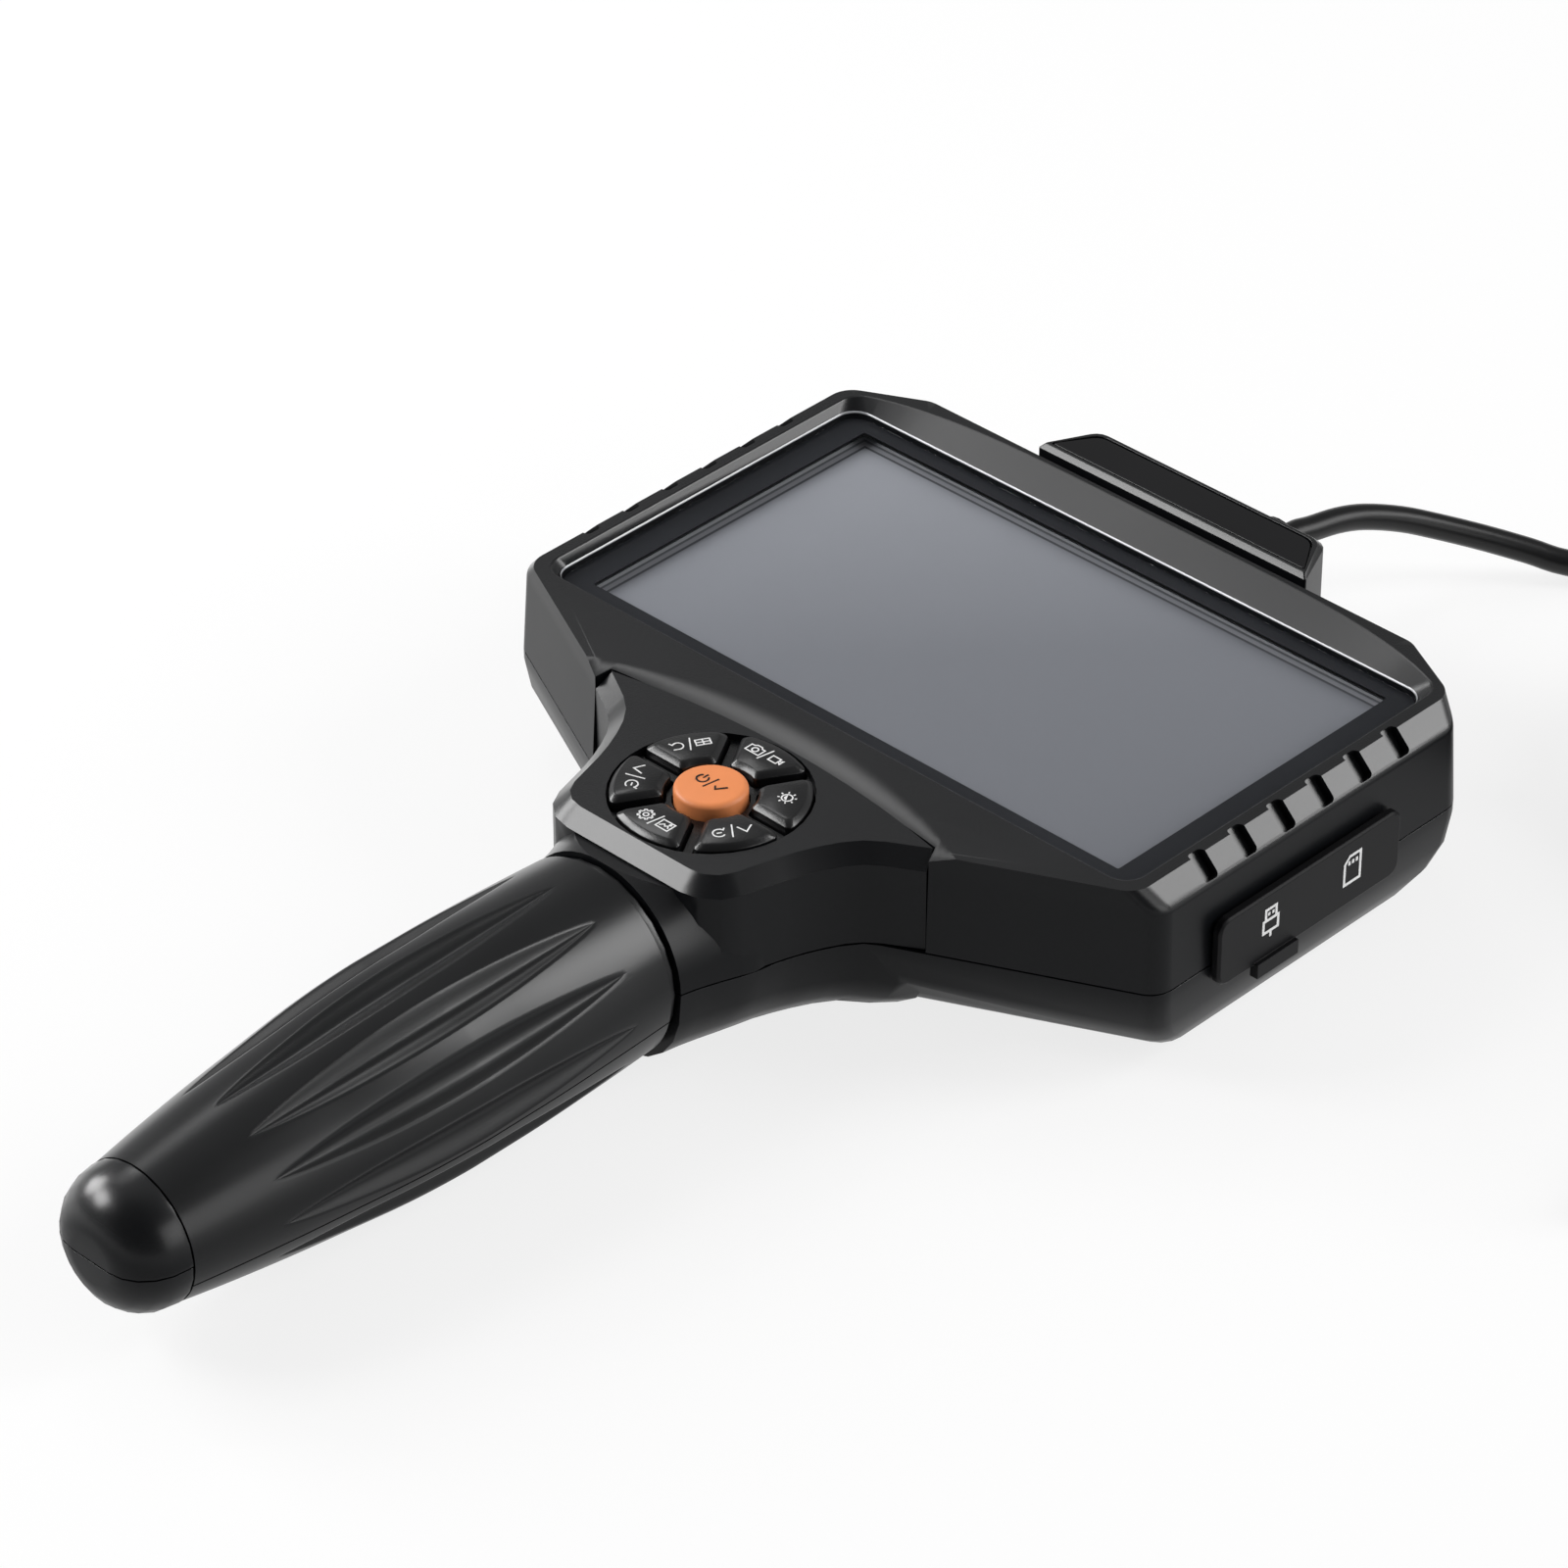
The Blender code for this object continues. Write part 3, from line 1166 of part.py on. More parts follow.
def make_cable_block():
    """Block on the head's top end, its let-in plate, and the nut and boot that hold the cable."""
    def plan(grow):
        corners = [
            (BLOCK_FRONT_HALF + grow, BLOCK_START - min(grow, 0.0), GAP),
            (BLOCK_REAR_HALF + grow, BLOCK_END + grow, BLOCK_CORNER),
        ]
        left = [(-x, y, radius) for x, y, radius in reversed(corners)]
        return rounded(corners + left)

    top = GLASS_Z + BLOCK_RISE
    levels = [
        (-BLOCK_EDGE, BLOCK_BOTTOM),
        (0.0, BLOCK_BOTTOM + BLOCK_EDGE),
        (0.0, top - BLOCK_EDGE),
        (-BLOCK_EDGE, top),
    ]
    block = loft("cable_block", [lift(plan(grow), height) for grow, height in levels], SHELL)
    bed = top - PLATE_SINK - PLATE_THICKNESS - GAP
    cut(block, prism("plate_bed_cutter", [plan(-PLATE_MARGIN)], bed, top + PLATE_THICKNESS))
    prism("block_plate", [plan(-PLATE_MARGIN - GAP)], bed + GAP, top - PLATE_SINK, GLOSS)
    out = {"place": (0.0, 0.0, PARTING_HEIGHT), "turn": (-pi / 2, 0.0, 0.0)}
    nut_start = BLOCK_END + GAP
    nut_end = nut_start + NUT_LENGTH
    chamfer = NUT_LENGTH / 4
    turned(
        "gland_nut",
        [
            (0.0, nut_end),
            (NUT_RADIUS - chamfer, nut_end),
            (NUT_RADIUS, nut_end - chamfer),
            (NUT_RADIUS, nut_start),
            (0.0, nut_start),
        ],
        POST_SIDES,
        SHELL,
        **out,
    )
    boot_end = LEAD_ROUTE[0][1] - GAP
    boot_start = nut_end + GAP
    steps = 3
    nose = []
    for step in range(steps + 1):
        angle = pi / 2 * step / steps
        radius = BOOT_TIP_RADIUS - BOOT_ROUND * (1 - sin(angle))
        nose.append((radius, boot_end - BOOT_ROUND * (1 - cos(angle))))
    turned(
        "strain_relief",
        [(0.0, boot_end), *nose, (BOOT_RADIUS, boot_start), (0.0, boot_start)],
        TURN_STEPS,
        RUBBER,
        **out,
    )


def make_grip():
    """Rubber halves round the core, split low on the sides, with long spindle-shaped hollows."""
    profile = [(radius, along) for along, radius in reversed(GRIP_CURVE)]
    inner = [(radius - GRIP_WALL, along) for radius, along in reversed(profile)]
    seam = PARTING_HEIGHT - GRIP_SEAM_DROP
    wide = COLLAR_RADIUS * 3
    for name, low, high, turns in (
        ("grip_front", -wide, seam + GAP / 2, range(-3, 4)),
        ("grip_back", seam - GAP / 2, wide * 2, range(4, 9)),
    ):
        grip = turned(name, profile + inner, GRIP_STEPS, RUBBER, ring=True, **ALONG_GRIP)
        for turn in turns:
            angle = 2 * pi * turn / FLUTE_COUNT
            cut(grip, flute(f"{name}_flute_{turn}", angle))
        cut(grip, box(name + "_split_cutter", (-wide, -GRIP_END - wide, low), (wide, wide, high)))
    ring = COLLAR_RADIUS - COLLAR_SINK
    bore = grip_radius(GRIP_START) - GRIP_WALL
    start = SLEEVE_END + GAP
    end = start + COLLAR_WIDTH
    turned(
        "collar_ring",
        [(ring, end), (ring, start), (bore, start), (bore, end)],
        TURN_STEPS,
        RUBBER,
        ring=True,
        **ALONG_GRIP,
    )


def flute(name, angle):
    """Spindle-shaped cutter that lies along the grip's surface at an angle from its top."""
    stations = 9
    sides = 6
    rings = []
    for station in range(stations + 1):
        share = station / stations
        along = FLUTE_START + (FLUTE_END - FLUTE_START) * share
        swell = max(sin(pi * share), 0.04)
        ring = []
        for side in range(sides):
            phase = 2 * pi * side / sides
            across = FLUTE_WIDTH / 2 * sqrt(swell) * sin(phase)
            radius = grip_radius(along) + FLUTE_DEPTH * swell * cos(phase)
            tilt = angle + across / radius
            ring.append((radius * sin(tilt), -along, PARTING_HEIGHT + radius * cos(tilt)))
        rings.append(ring)
    return loft(name, rings)


# Coil of the put-away cable: it spirals in and out again, layer on layer
COIL_PITCH = CABLE_DIAMETER + COIL_SPACING
COIL_TURNS_PER_LAYER = COIL_TURNS / COIL_LAYERS
COIL_OUTER = COIL_INNER + COIL_PITCH * COIL_TURNS_PER_LAYER
COIL_LOW = LEAD_ROUTE[-1][2]
COIL_START = Vector((LEAD_ROUTE[-1][0] + GAP + CABLE_DIAMETER, LEAD_ROUTE[-1][1]))
COIL_CENTRE = COIL_START - Vector((0.0, COIL_OUTER))


def coil_points():
    """Points of the coil from its straight start to the end of its tail beside it."""
    points = [(COIL_START.x - CABLE_DIAMETER, COIL_START.y, COIL_LOW)]
    count = round(COIL_TURNS * COIL_POINTS_PER_TURN)
    for number in range(count + 1):
        turns = COIL_TURNS * number / count
        layer, share = divmod(turns / COIL_TURNS_PER_LAYER, 1.0)
        inward = layer % 2 == 0
        radius = COIL_OUTER - (COIL_OUTER - COIL_INNER) * (share if inward else 1 - share)
        nearest = round(turns / COIL_TURNS_PER_LAYER)
        climb = 0.0
        if 0 < nearest < COIL_LAYERS:
            climb = min(1.0, max(0.0, (turns - nearest * COIL_TURNS_PER_LAYER) * 2 + 0.5))
            climb = climb * climb * (3 - 2 * climb) + nearest - 1
        else:
            climb = 0.0 if nearest == 0 else COIL_LAYERS - 1
        angle = pi / 2 - 2 * pi * turns
        points.append((
            COIL_CENTRE.x + radius * cos(angle),
            COIL_CENTRE.y + radius * sin(angle),
            COIL_LOW + COIL_PITCH * climb,
        ))
    x, y, top = points[-1]
    fall = top - CAMERA_RADIUS
    tail = [(x, y, top)] + [(x, y - run, top - fall * share) for run, share in TAIL_DROPS]
    tail.append((x, y - TAIL_DROPS[-1][0] - CABLE_DIAMETER, CAMERA_RADIUS))
    return points[:-1] + [tuple(point) for point in smooth(tail[:-1], 2)] + [tail[-1]]


def least_gap(points):
    """Least clear distance between stretches of the coil that aren't next to each other."""
    least = 1.0
    apart = COIL_POINTS_PER_TURN // 2
    for number, here in enumerate(points):
        for there in points[number + apart:]:
            least = min(least, dist(here, there))
    return least - CABLE_DIAMETER


def make_cable():
    """Free lead from the boot to the coil, the coil itself, and two ties round it."""
    lead = smooth(LEAD_ROUTE, 2)
    lead[0].y = LEAD_ROUTE[0][1]
    tube("probe_lead", [tuple(point) for point in lead], CABLE_DIAMETER / 2, 2, CABLE)
    points = coil_points()
    tube("probe_coil", points, CABLE_DIAMETER / 2, 1, CABLE)
    runs = (lead, points)
    length = sum(dist(a, b) for run in runs for a, b in zip(run, run[1:]))
    print(f"probe cable length {length:.3f} m, least gap in the coil {least_gap(points) * 1000:.2f} mm")
    middle = (COIL_INNER + COIL_OUTER) / 2
    half = (COIL_OUTER - COIL_INNER) / 2 + CABLE_DIAMETER / 2 + GAP
    low = COIL_LOW - CABLE_DIAMETER / 2 - GAP
    high = COIL_LOW + COIL_PITCH * (COIL_LAYERS - 1) + CABLE_DIAMETER / 2 + GAP
    inner = rounded_rectangle(half, low, high, CABLE_DIAMETER / 2)
    for number, angle in enumerate(TIE_ANGLES):
        prism(
            f"coil_tie_{number + 1}",
            [offset(inner, TIE_THICKNESS), inner],
            -TIE_WIDTH / 2,
            TIE_WIDTH / 2,
            RUBBER,
            place=(COIL_CENTRE.x + middle * cos(angle), COIL_CENTRE.y + middle * sin(angle), 0.0),
            turn=(pi / 2, 0.0, angle),
        )
    return points[-1]


def make_camera(end):
    """Camera head at the cable's far end: ferrule, steel tube, lamp ring and lens."""
    x, y, height = end
    out = {"place": (x, y - GAP, height), "turn": (pi / 2, 0.0, 0.0)}
    neck = FERRULE_LENGTH
    profile = [
        (0.0, neck),
        (FERRULE_RADIUS, neck),
        (FERRULE_RADIUS, neck / 2),
        (CABLE_DIAMETER / 2, 0.0),
        (0.0, 0.0),
    ]
    turned("camera_ferrule", profile, TURN_STEPS // 2, RUBBER, **out)
    start = neck + GAP
    front = start + CAMERA_LENGTH
    seat = front - CAMERA_RECESS
    bore = CAMERA_RADIUS - CAMERA_WALL
    profile = [
        (0.0, seat),
        (bore, seat),
        (bore, front),
        (CAMERA_RADIUS, front),
        (CAMERA_RADIUS, start),
        (0.0, start),
    ]
    turned("camera_head", profile, TURN_STEPS, STEEL, **out)
    inside = bore - GAP
    ring = LENS_RADIUS + GAP
    face = seat + GAP
    turned(
        "light_ring",
        [(inside, front - GAP), (inside, face), (ring, face), (ring, front - GAP)],
        TURN_STEPS,
        LAMP,
        ring=True,
        **out,
    )
    turned(
        "camera_lens",
        [(0.0, front - GAP), (LENS_RADIUS, front - GAP), (LENS_RADIUS, face), (0.0, face)],
        TURN_STEPS // 2,
        LENS,
        **out,
    )


def make_screws():
    """Screws from the back, through the rear columns into the front posts."""
    for number, (x, y, sink) in enumerate(SCREW_PLACES):
        seat = sink + SCREW_HEAD_HEIGHT - GAP
        head = seat - SCREW_HEAD_HEIGHT
        tip = PARTING_HEIGHT + SCREW_GRIP
        profile = [
            (0.0, tip),
            (SCREW_RADIUS, tip),
            (SCREW_RADIUS, seat),
            (SCREW_HEAD_RADIUS, seat),
            (SCREW_HEAD_RADIUS, head),
            (0.0, head),
        ]
        turned(f"back_screw_{number + 1}", profile, POST_SIDES, STEEL, place=(x, y, 0.0))


make_head_front_shell()
make_keypad_deck()
make_rear_shell()
make_display()
make_boards()
make_keys()
make_ok_button()
make_port_flap()
make_cable_block()
make_battery()
make_grip()
make_camera(make_cable())
make_screws()
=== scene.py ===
from math import asin, cos, pi, radians, sin, tan

import bmesh
import bpy
from mathutils import Matrix, Vector


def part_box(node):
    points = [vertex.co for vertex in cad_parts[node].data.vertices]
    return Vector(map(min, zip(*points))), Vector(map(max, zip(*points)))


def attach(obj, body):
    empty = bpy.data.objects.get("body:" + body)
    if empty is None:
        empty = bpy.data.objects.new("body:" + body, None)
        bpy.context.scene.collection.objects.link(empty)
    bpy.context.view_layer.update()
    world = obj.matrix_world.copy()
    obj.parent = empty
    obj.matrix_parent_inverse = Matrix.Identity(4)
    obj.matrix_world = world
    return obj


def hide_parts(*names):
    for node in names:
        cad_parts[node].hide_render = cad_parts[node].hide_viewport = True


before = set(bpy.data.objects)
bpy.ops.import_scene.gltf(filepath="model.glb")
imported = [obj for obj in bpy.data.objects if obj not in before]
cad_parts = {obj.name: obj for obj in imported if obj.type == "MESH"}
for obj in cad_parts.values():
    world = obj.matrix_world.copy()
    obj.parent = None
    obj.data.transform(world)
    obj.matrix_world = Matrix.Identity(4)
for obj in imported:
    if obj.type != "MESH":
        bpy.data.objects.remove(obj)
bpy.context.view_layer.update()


# Rear moulding: the pan behind the display, the back of the neck and half of the grip's core and tail cap.
# It is moulded in one piece in charcoal plastic with a fine eroded grain, and takes the screws from behind.
class Socket:
    """One output of a node. Sums and products of sockets and numbers add Math nodes to the same tree."""

    def __init__(self, tree, output=None):
        self.tree = tree
        self.output = output

    def node(self, kind, settings=None, sockets=None, output=0):
        """Add a node, with its settings first and then the values or links of its sockets."""
        made = self.tree.nodes.new(kind)
        for name, value in (settings or {}).items():
            if name == "stops":
                elements = made.color_ramp.elements
                while len(elements) < len(value):
                    elements.new(0.5)
                for stop, (place, colour) in zip(elements, value):
                    stop.position = place
                    stop.color = (*colour, 1.0)
            else:
                setattr(made.color_ramp if name == "interpolation" else made, name, value)
        for name, value in (sockets or {}).items():
            if isinstance(value, Socket):
                self.tree.links.new(value.output, made.inputs[name])
            else:
                made.inputs[name].default_value = value
        return Socket(self.tree, made.outputs[output])

    def out(self, output):
        return Socket(self.tree, self.output.node.outputs[output])

    def feed(self, shader, name):
        self.tree.links.new(self.output, shader.inputs[name])

    def part(self, axis):
        return self.node("ShaderNodeSeparateXYZ", {}, {"Vector": self}, axis)

    def vector(self, **axes):
        return self.node("ShaderNodeCombineXYZ", {}, axes)

    def noise(self, scale, detail=2.0):
        return self.node("ShaderNodeTexNoise", {}, {"Vector": self, "Scale": scale, "Detail": detail})

    def ramp(self, *stops, **settings):
        """A colour that this value picks between (place, colour) stops."""
        return self.node("ShaderNodeValToRGB", {**settings, "stops": stops}, {"Fac": self})

    def mixed(self, first, second):
        return self.node("ShaderNodeMix", {"data_type": "RGBA"}, {0: self, 6: first, 7: second}, 2)

    def bump(self, strength, distance):
        return self.node("ShaderNodeBump", {}, {"Strength": strength, "Distance": distance, "Height": self})

    def joined(self, other):
        """This geometry and another as one."""
        both = self.node("GeometryNodeJoinGeometry")
        for geometry in (self, other):
            self.tree.links.new(geometry.output, both.output.node.inputs[0])
        return both

    def math(self, operation, *values):
        return self.node("ShaderNodeMath", {"operation": operation}, dict(enumerate(values)))

    def __add__(self, other):
        return self.math("ADD", self, other)

    def __sub__(self, other):
        return self.math("SUBTRACT", self, other)

    def __rsub__(self, other):
        return self.math("SUBTRACT", other, self)

    def __mul__(self, other):
        return self.math("MULTIPLY", self, other)

    def __truediv__(self, other):
        return self.math("DIVIDE", self, other)

    def __pow__(self, other):
        return self.math("POWER", self, other)

    __radd__ = __add__
    __rmul__ = __mul__


def new_finish(name, roughness, specular=0.5, metallic=0.0):
    """A material, its shader, and the place on the piece that its nodes start from."""
    finish = bpy.data.materials.new(name)
    finish.use_nodes = True
    shader = finish.node_tree.nodes["Principled BSDF"]
    for socket, value in (("Roughness", roughness), ("Specular IOR Level", specular), ("Metallic", metallic)):
        shader.inputs[socket].default_value = value
    return finish, shader, Socket(finish.node_tree).node("ShaderNodeTexCoord", output="Object")


def moulded(name, colour, roughness, specular, grain, relief, polish=0.0):
    """Moulded plastic or rubber: a faint drift of tone and shine, and a fine grain.

    The faces that look up come off a polished part of the mould, and have a clear shine over the grain.
    """
    finish, shader, place = new_finish(name, roughness, specular)
    drift = place.noise(38.0, 4.0)
    speck = place.noise(1.0 / grain)
    darker, lighter = ([share * value for value in colour] for share in (0.86, 1.14))
    drift.ramp((0.3, darker), (0.7, lighter)).feed(shader, "Base Color")
    (roughness - 0.06 + drift * 0.08 + speck * 0.04).feed(shader, "Roughness")
    speck.bump(relief, grain / 4).feed(shader, "Normal")
    if polish:
        upward = place.out("Normal").part("Z")
        share = place.node(
            "ShaderNodeMapRange",
            {"interpolation_type": "SMOOTHSTEP"},
            {"Value": upward, "From Min": 0.15, "From Max": 0.60, "To Min": 0.12 * polish, "To Max": polish},
        )
        (share * (0.9 + drift * 0.2)).feed(shader, "Coat Weight")
        shader.inputs["Coat Roughness"].default_value = roughness - 0.06
    return finish


def placed(name, data):
    """A new object in the scene."""
    made = bpy.data.objects.new(name, data)
    bpy.context.scene.collection.objects.link(made)
    return made


def plain_mesh(name, holder):
    """What an object's modifier leaves, as a plain mesh; the object itself goes."""
    seed = holder.data
    ready = holder.evaluated_get(bpy.context.evaluated_depsgraph_get())
    made = bpy.data.meshes.new_from_object(ready)
    made.name = name
    bpy.data.objects.remove(holder)
    bpy.data.meshes.remove(seed)
    return made


def baked(name, mesh, kind, **settings):
    """The mesh as one modifier leaves it."""
    holder = placed(name, mesh)
    change = holder.modifiers.new(kind.lower(), kind)
    for key, value in settings.items():
        setattr(change, key, value)
    return plain_mesh(name, holder)


def smoothed(mesh, crease):
    """The mesh shaded smooth, apart from the edges that are sharper than crease."""
    mesh.shade_smooth()
    mesh.set_sharp_from_angle(angle=radians(crease))
    return mesh


def settled(name, mesh):
    """The mesh with its wide faces shaded flat and the narrow ones between them shaded round."""
    return baked(name, smoothed(mesh, 40), "WEIGHTED_NORMAL", mode="FACE_AREA", weight=60, keep_sharp=True)


def eased(name, mesh, edge, crease, segments=3, **settings):
    """The mesh with every edge that is sharper than crease rounded off."""
    limit = {"limit_method": "ANGLE", "angle_limit": radians(crease)}
    return baked(name, mesh, "BEVEL", width=edge, segments=segments, **limit, **settings)


def mesh_of(name, body, turn_outwards=True):
    """The finished mesh of a body."""
    if turn_outwards:
        bmesh.ops.recalc_face_normals(body, faces=body.faces)
    mesh = bpy.data.meshes.new(name)
    body.to_mesh(mesh)
    body.free()
    return mesh


def fit(name, mesh, finish, nodes=(), body="housing"):
    """Put a finished mesh in the scene on the body it rides on, and hide the imported solids it stands in for."""
    mesh.materials.clear()
    mesh.materials.append(finish)
    made = placed(name, mesh)
    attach(made, body)
    if nodes:
        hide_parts(*nodes)
    return made


def dress(name, node, finish, edge=0.0004, body="housing"):
    """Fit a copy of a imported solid, with its points merged, its flat faces joined and its edges rounded."""
    copy = bmesh.new()
    copy.from_mesh(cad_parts[node].data)
    bmesh.ops.remove_doubles(copy, verts=copy.verts, dist=0.000002)
    bmesh.ops.dissolve_limit(copy, angle_limit=radians(0.5), verts=copy.verts, edges=copy.edges)
    merged = mesh_of(node + "_merged", copy, turn_outwards=False)
    skin = settled(node + "_skin", eased(node + "_eased", merged, edge, 35, miter_outer="MITER_ARC"))
    return fit(name, skin, finish, [node], body)


charcoal = moulded(
    "charcoal_satin_plastic",
    (0.0048, 0.0052, 0.0062),
    roughness=0.33,
    specular=0.08,
    grain=0.00022,
    relief=0.05,
    polish=1.0,
)
dress("rear_moulding", "rear_shell", charcoal)


# Battery: one round cell in the grip's core, in a printed shrink wrap, with a welded nickel tab at each end.
# A silicone lead runs from its front tab past the neck screw to the main board.
WRAP_BAND, WRAP_BAND_HALF = -0.1230, 0.0040


def paint(finish, *nodes):
    """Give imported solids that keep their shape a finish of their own."""
    for node in nodes:
        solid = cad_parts[node].data
        solid.materials.clear()
        solid.materials.append(finish)


wrap, wrap_shader, place = new_finish("cell_shrink_wrap", 0.3)
wrinkle = place.noise(220.0, 3.0)
band = place.math("LESS_THAN", place.math("ABSOLUTE", place.part("Y") - WRAP_BAND), WRAP_BAND_HALF)
blue = wrinkle.ramp((0.3, (0.02, 0.11, 0.25)), (0.7, (0.03, 0.16, 0.34)))
band.mixed(blue, (0.6, 0.6, 0.58, 1.0)).feed(wrap_shader, "Base Color")
(0.24 + wrinkle * 0.14).feed(wrap_shader, "Roughness")
wrinkle.bump(0.2, 0.0001).feed(wrap_shader, "Normal")
paint(wrap, "battery_cell")


def metal(name, colour, roughness, stretch):
    """Bare metal with fine drawn lines along the axis that stretch makes long."""
    finish, shader, place = new_finish(name, roughness, 0.5, 1.0)
    line = place.node("ShaderNodeMapping", {}, {"Vector": place, "Scale": stretch}).noise(900.0, 3.0)
    dull = [0.82 * value for value in colour]
    line.ramp((0.25, dull), (0.75, colour)).feed(shader, "Base Color")
    (roughness - 0.07 + line * 0.14).feed(shader, "Roughness")
    line.bump(0.08, 0.00005).feed(shader, "Normal")
    return finish


nickel = metal("plated_nickel", (0.58, 0.57, 0.55), 0.28, (1.0, 0.1, 1.0))
paint(nickel, "battery_tab_front", "battery_tab_rear")
red_lead = moulded(
    "red_silicone_lead", (0.42, 0.03, 0.02), roughness=0.45, specular=0.4, grain=0.0002, relief=0.05
)
paint(red_lead, "battery_lead")


# Boards: the main board on its rests behind the display, and the oval key board under the deck.
# Both are glass-fibre board under green solder mask, with tinned pads, and a polyimide ribbon joins them.
RIBBON_PITCH = 0.0008
mask, mask_shader, place = new_finish("green_solder_mask", 0.4)
cells = place.node(
    "ShaderNodeTexVoronoi",
    {"feature": "DISTANCE_TO_EDGE", "distance": "EUCLIDEAN"},
    {"Vector": place, "Scale": 320.0},
)
track = place.math("LESS_THAN", cells, 0.05)
weave = place.noise(900.0)
green = weave.ramp((0.3, (0.006, 0.06, 0.025)), (0.7, (0.01, 0.09, 0.035)))
(track * 0.6).mixed(green, (0.03, 0.2, 0.08, 1.0)).feed(mask_shader, "Base Color")
(0.32 + weave * 0.15).feed(mask_shader, "Roughness")
track.bump(0.3, 0.00003).feed(mask_shader, "Normal")
paint(mask, "main_board", "key_board")
paint(nickel, *[f"tact_switch_{number}" for number in range(1, 8)])

film, film_shader, place = new_finish("polyimide_ribbon", 0.35)
wire = place.math("GREATER_THAN", place.math("SINE", place.part("X") * (2 * pi / RIBBON_PITCH)), 0.0)
wire.mixed((0.30, 0.09, 0.01, 1.0), (0.42, 0.17, 0.04, 1.0)).feed(film_shader, "Base Color")
(0.3 + wire * 0.1).feed(film_shader, "Roughness")
paint(film, "key_ribbon")


# Display: a five-inch panel in a pressed frame, held under the ledge of the front moulding.
# The field is grey, painted lighter towards the far left and darker towards the near right as painted light.
# Its striped margin of bare polariser is painted lighter than it is, as painted light where the border print
# shades it.
FIELD_HALF = (0.0543, 0.0302)
MARGIN = 0.0030
MARGIN_STRIPES = (0.0005, 0.0014, 0.0019)
panel, panel_shader, place = new_finish("display_polariser_painted_light", 0.34, 0.22)
across = place.part("X")
up = across.out("Y")
beyond = place.math(
    "MAXIMUM", *[place.math("ABSOLUTE", value) - half for value, half in zip((across, up), FIELD_HALF)]
)
# The margin's stripes stand for bare polariser, painted lighter as painted light where the border print shades
# them.
margin_stripes_painted_lighter = (beyond / MARGIN).ramp(
    (0.0, (0.13, 0.135, 0.15)),
    (MARGIN_STRIPES[0] / MARGIN, (0.42, 0.43, 0.47)),
    (MARGIN_STRIPES[1] / MARGIN, (0.20, 0.21, 0.23)),
    (MARGIN_STRIPES[2] / MARGIN, (0.62, 0.64, 0.68)),
    interpolation="CONSTANT",
)
# Painted light: the field grows lighter towards the far left and darker towards the near right.
painted_light_fade = 0.5 - across * 4.4 + up * 4.0
grey = painted_light_fade.ramp((0.0, (0.240, 0.251, 0.280)), (0.5, (0.290, 0.303, 0.337)), (1.0, (0.520, 0.540, 0.592)))
place.math("GREATER_THAN", beyond, 0.0).mixed(grey, margin_stripes_painted_lighter).feed(panel_shader, "Base Color")
(0.28 + place.noise(26.0) * 0.1).feed(panel_shader, "Roughness")
paint(panel, "lcd_panel")
paint(metal("pressed_frame_metal", (0.52, 0.52, 0.53), 0.34, (0.1, 1.0, 1.0)), "lcd_frame")
foam = moulded(
    "black_foam_tape", (0.008, 0.008, 0.008), roughness=0.9, specular=0.2, grain=0.0003, relief=0.5
)
paint(foam, "glass_tape")


# Front moulding of the head: a rim round the glass with a recess that widens at the far side, six slots in each
# side chamfer, and a sloping band above the keypad. It is charcoal plastic, moulded in one piece.
GLASS_HALF, GLASS_NEAR, GLASS_FAR, GLASS_FACE = 0.06055, -0.03515, 0.03415, 0.0337
SEAT_GAP = 0.0003
SEAT_CORNER = 0.0038
LEDGE_HIGH, LEDGE_LOW = 0.0317, 0.0307
LEDGE_HOLE = (0.0576, -0.0324, 0.0334)
LEDGE_CORNER = 0.0005
RIM_FACE = 0.03535
RIM_LEAN = 0.0009
RIM_HALF = 0.06405
RIM_EASE = 0.0003
SIDE_CHAMFER = 0.0033
CHAMFER_EASE = 0.0009
WALL_THICKNESS = 0.0022
WALL_DRAFT = 0.0007
FRONT_LOW = 0.01765
HEAD_FAR = 0.0424
HEAD_CORNER = 0.0045
BEZEL_WIDTH = 0.0076
ARCH_FALL = 0.0065
ARCH_POWER = 4.6
ARCH_SETBACK = 0.0042
ARCH_STEPS = 40
SEAM_HALF, SEAM_TOP, SEAM_FALL = 0.034117, -0.04455, 0.003737
SEAM_SIDE = ((0.037155, -0.07765), (0.037155, -0.05579), (0.035163, -0.05087))
SEAM_CUT = (0.010, 0.040)
BAND_HALF, BAND_TOP, BAND_FALL = 0.038885, -0.03945, 0.009581
BAND_REACH = 0.0108
BAND_SLOPE = radians(20)
SLOT_PITCH = 0.0089
SLOT_SIDE, SLOT_SHIFT, SLOT_HEIGHT = 0.0653, -0.0010, 0.0341
BAY_SETBACK = 0.0016
BAY_INNER, BAY_OUTER, BAY_LOW = 0.0640, 0.0720, 0.010


def round_off(points, steps=4):
    """Round the corners of a counter-clockwise polygon of (x, y, radius) points."""
    outline = []
    count = len(points)
    for index, (x, y, radius) in enumerate(points):
        here = Vector((x, y))
        if radius <= 0.0:
            outline.append((x, y))
            continue
        before = (Vector(points[index - 1][:2]) - here).normalized()
        after = (Vector(points[(index + 1) % count][:2]) - here).normalized()
        half = before.angle(after) / 2
        centre = here + (before + after).normalized() * (radius / sin(half))
        first = here + before * (radius / sin(half) * cos(half)) - centre
        last = here + after * (radius / sin(half) * cos(half)) - centre
        sweep = first.angle_signed(last)
        for step in range(steps + 1):
            place = centre + Matrix.Rotation(-sweep * step / steps, 2) @ first
            outline.append((place.x, place.y))
    return outline


def at_height(outline, z):
    return [(x, y, z) for x, y in outline]


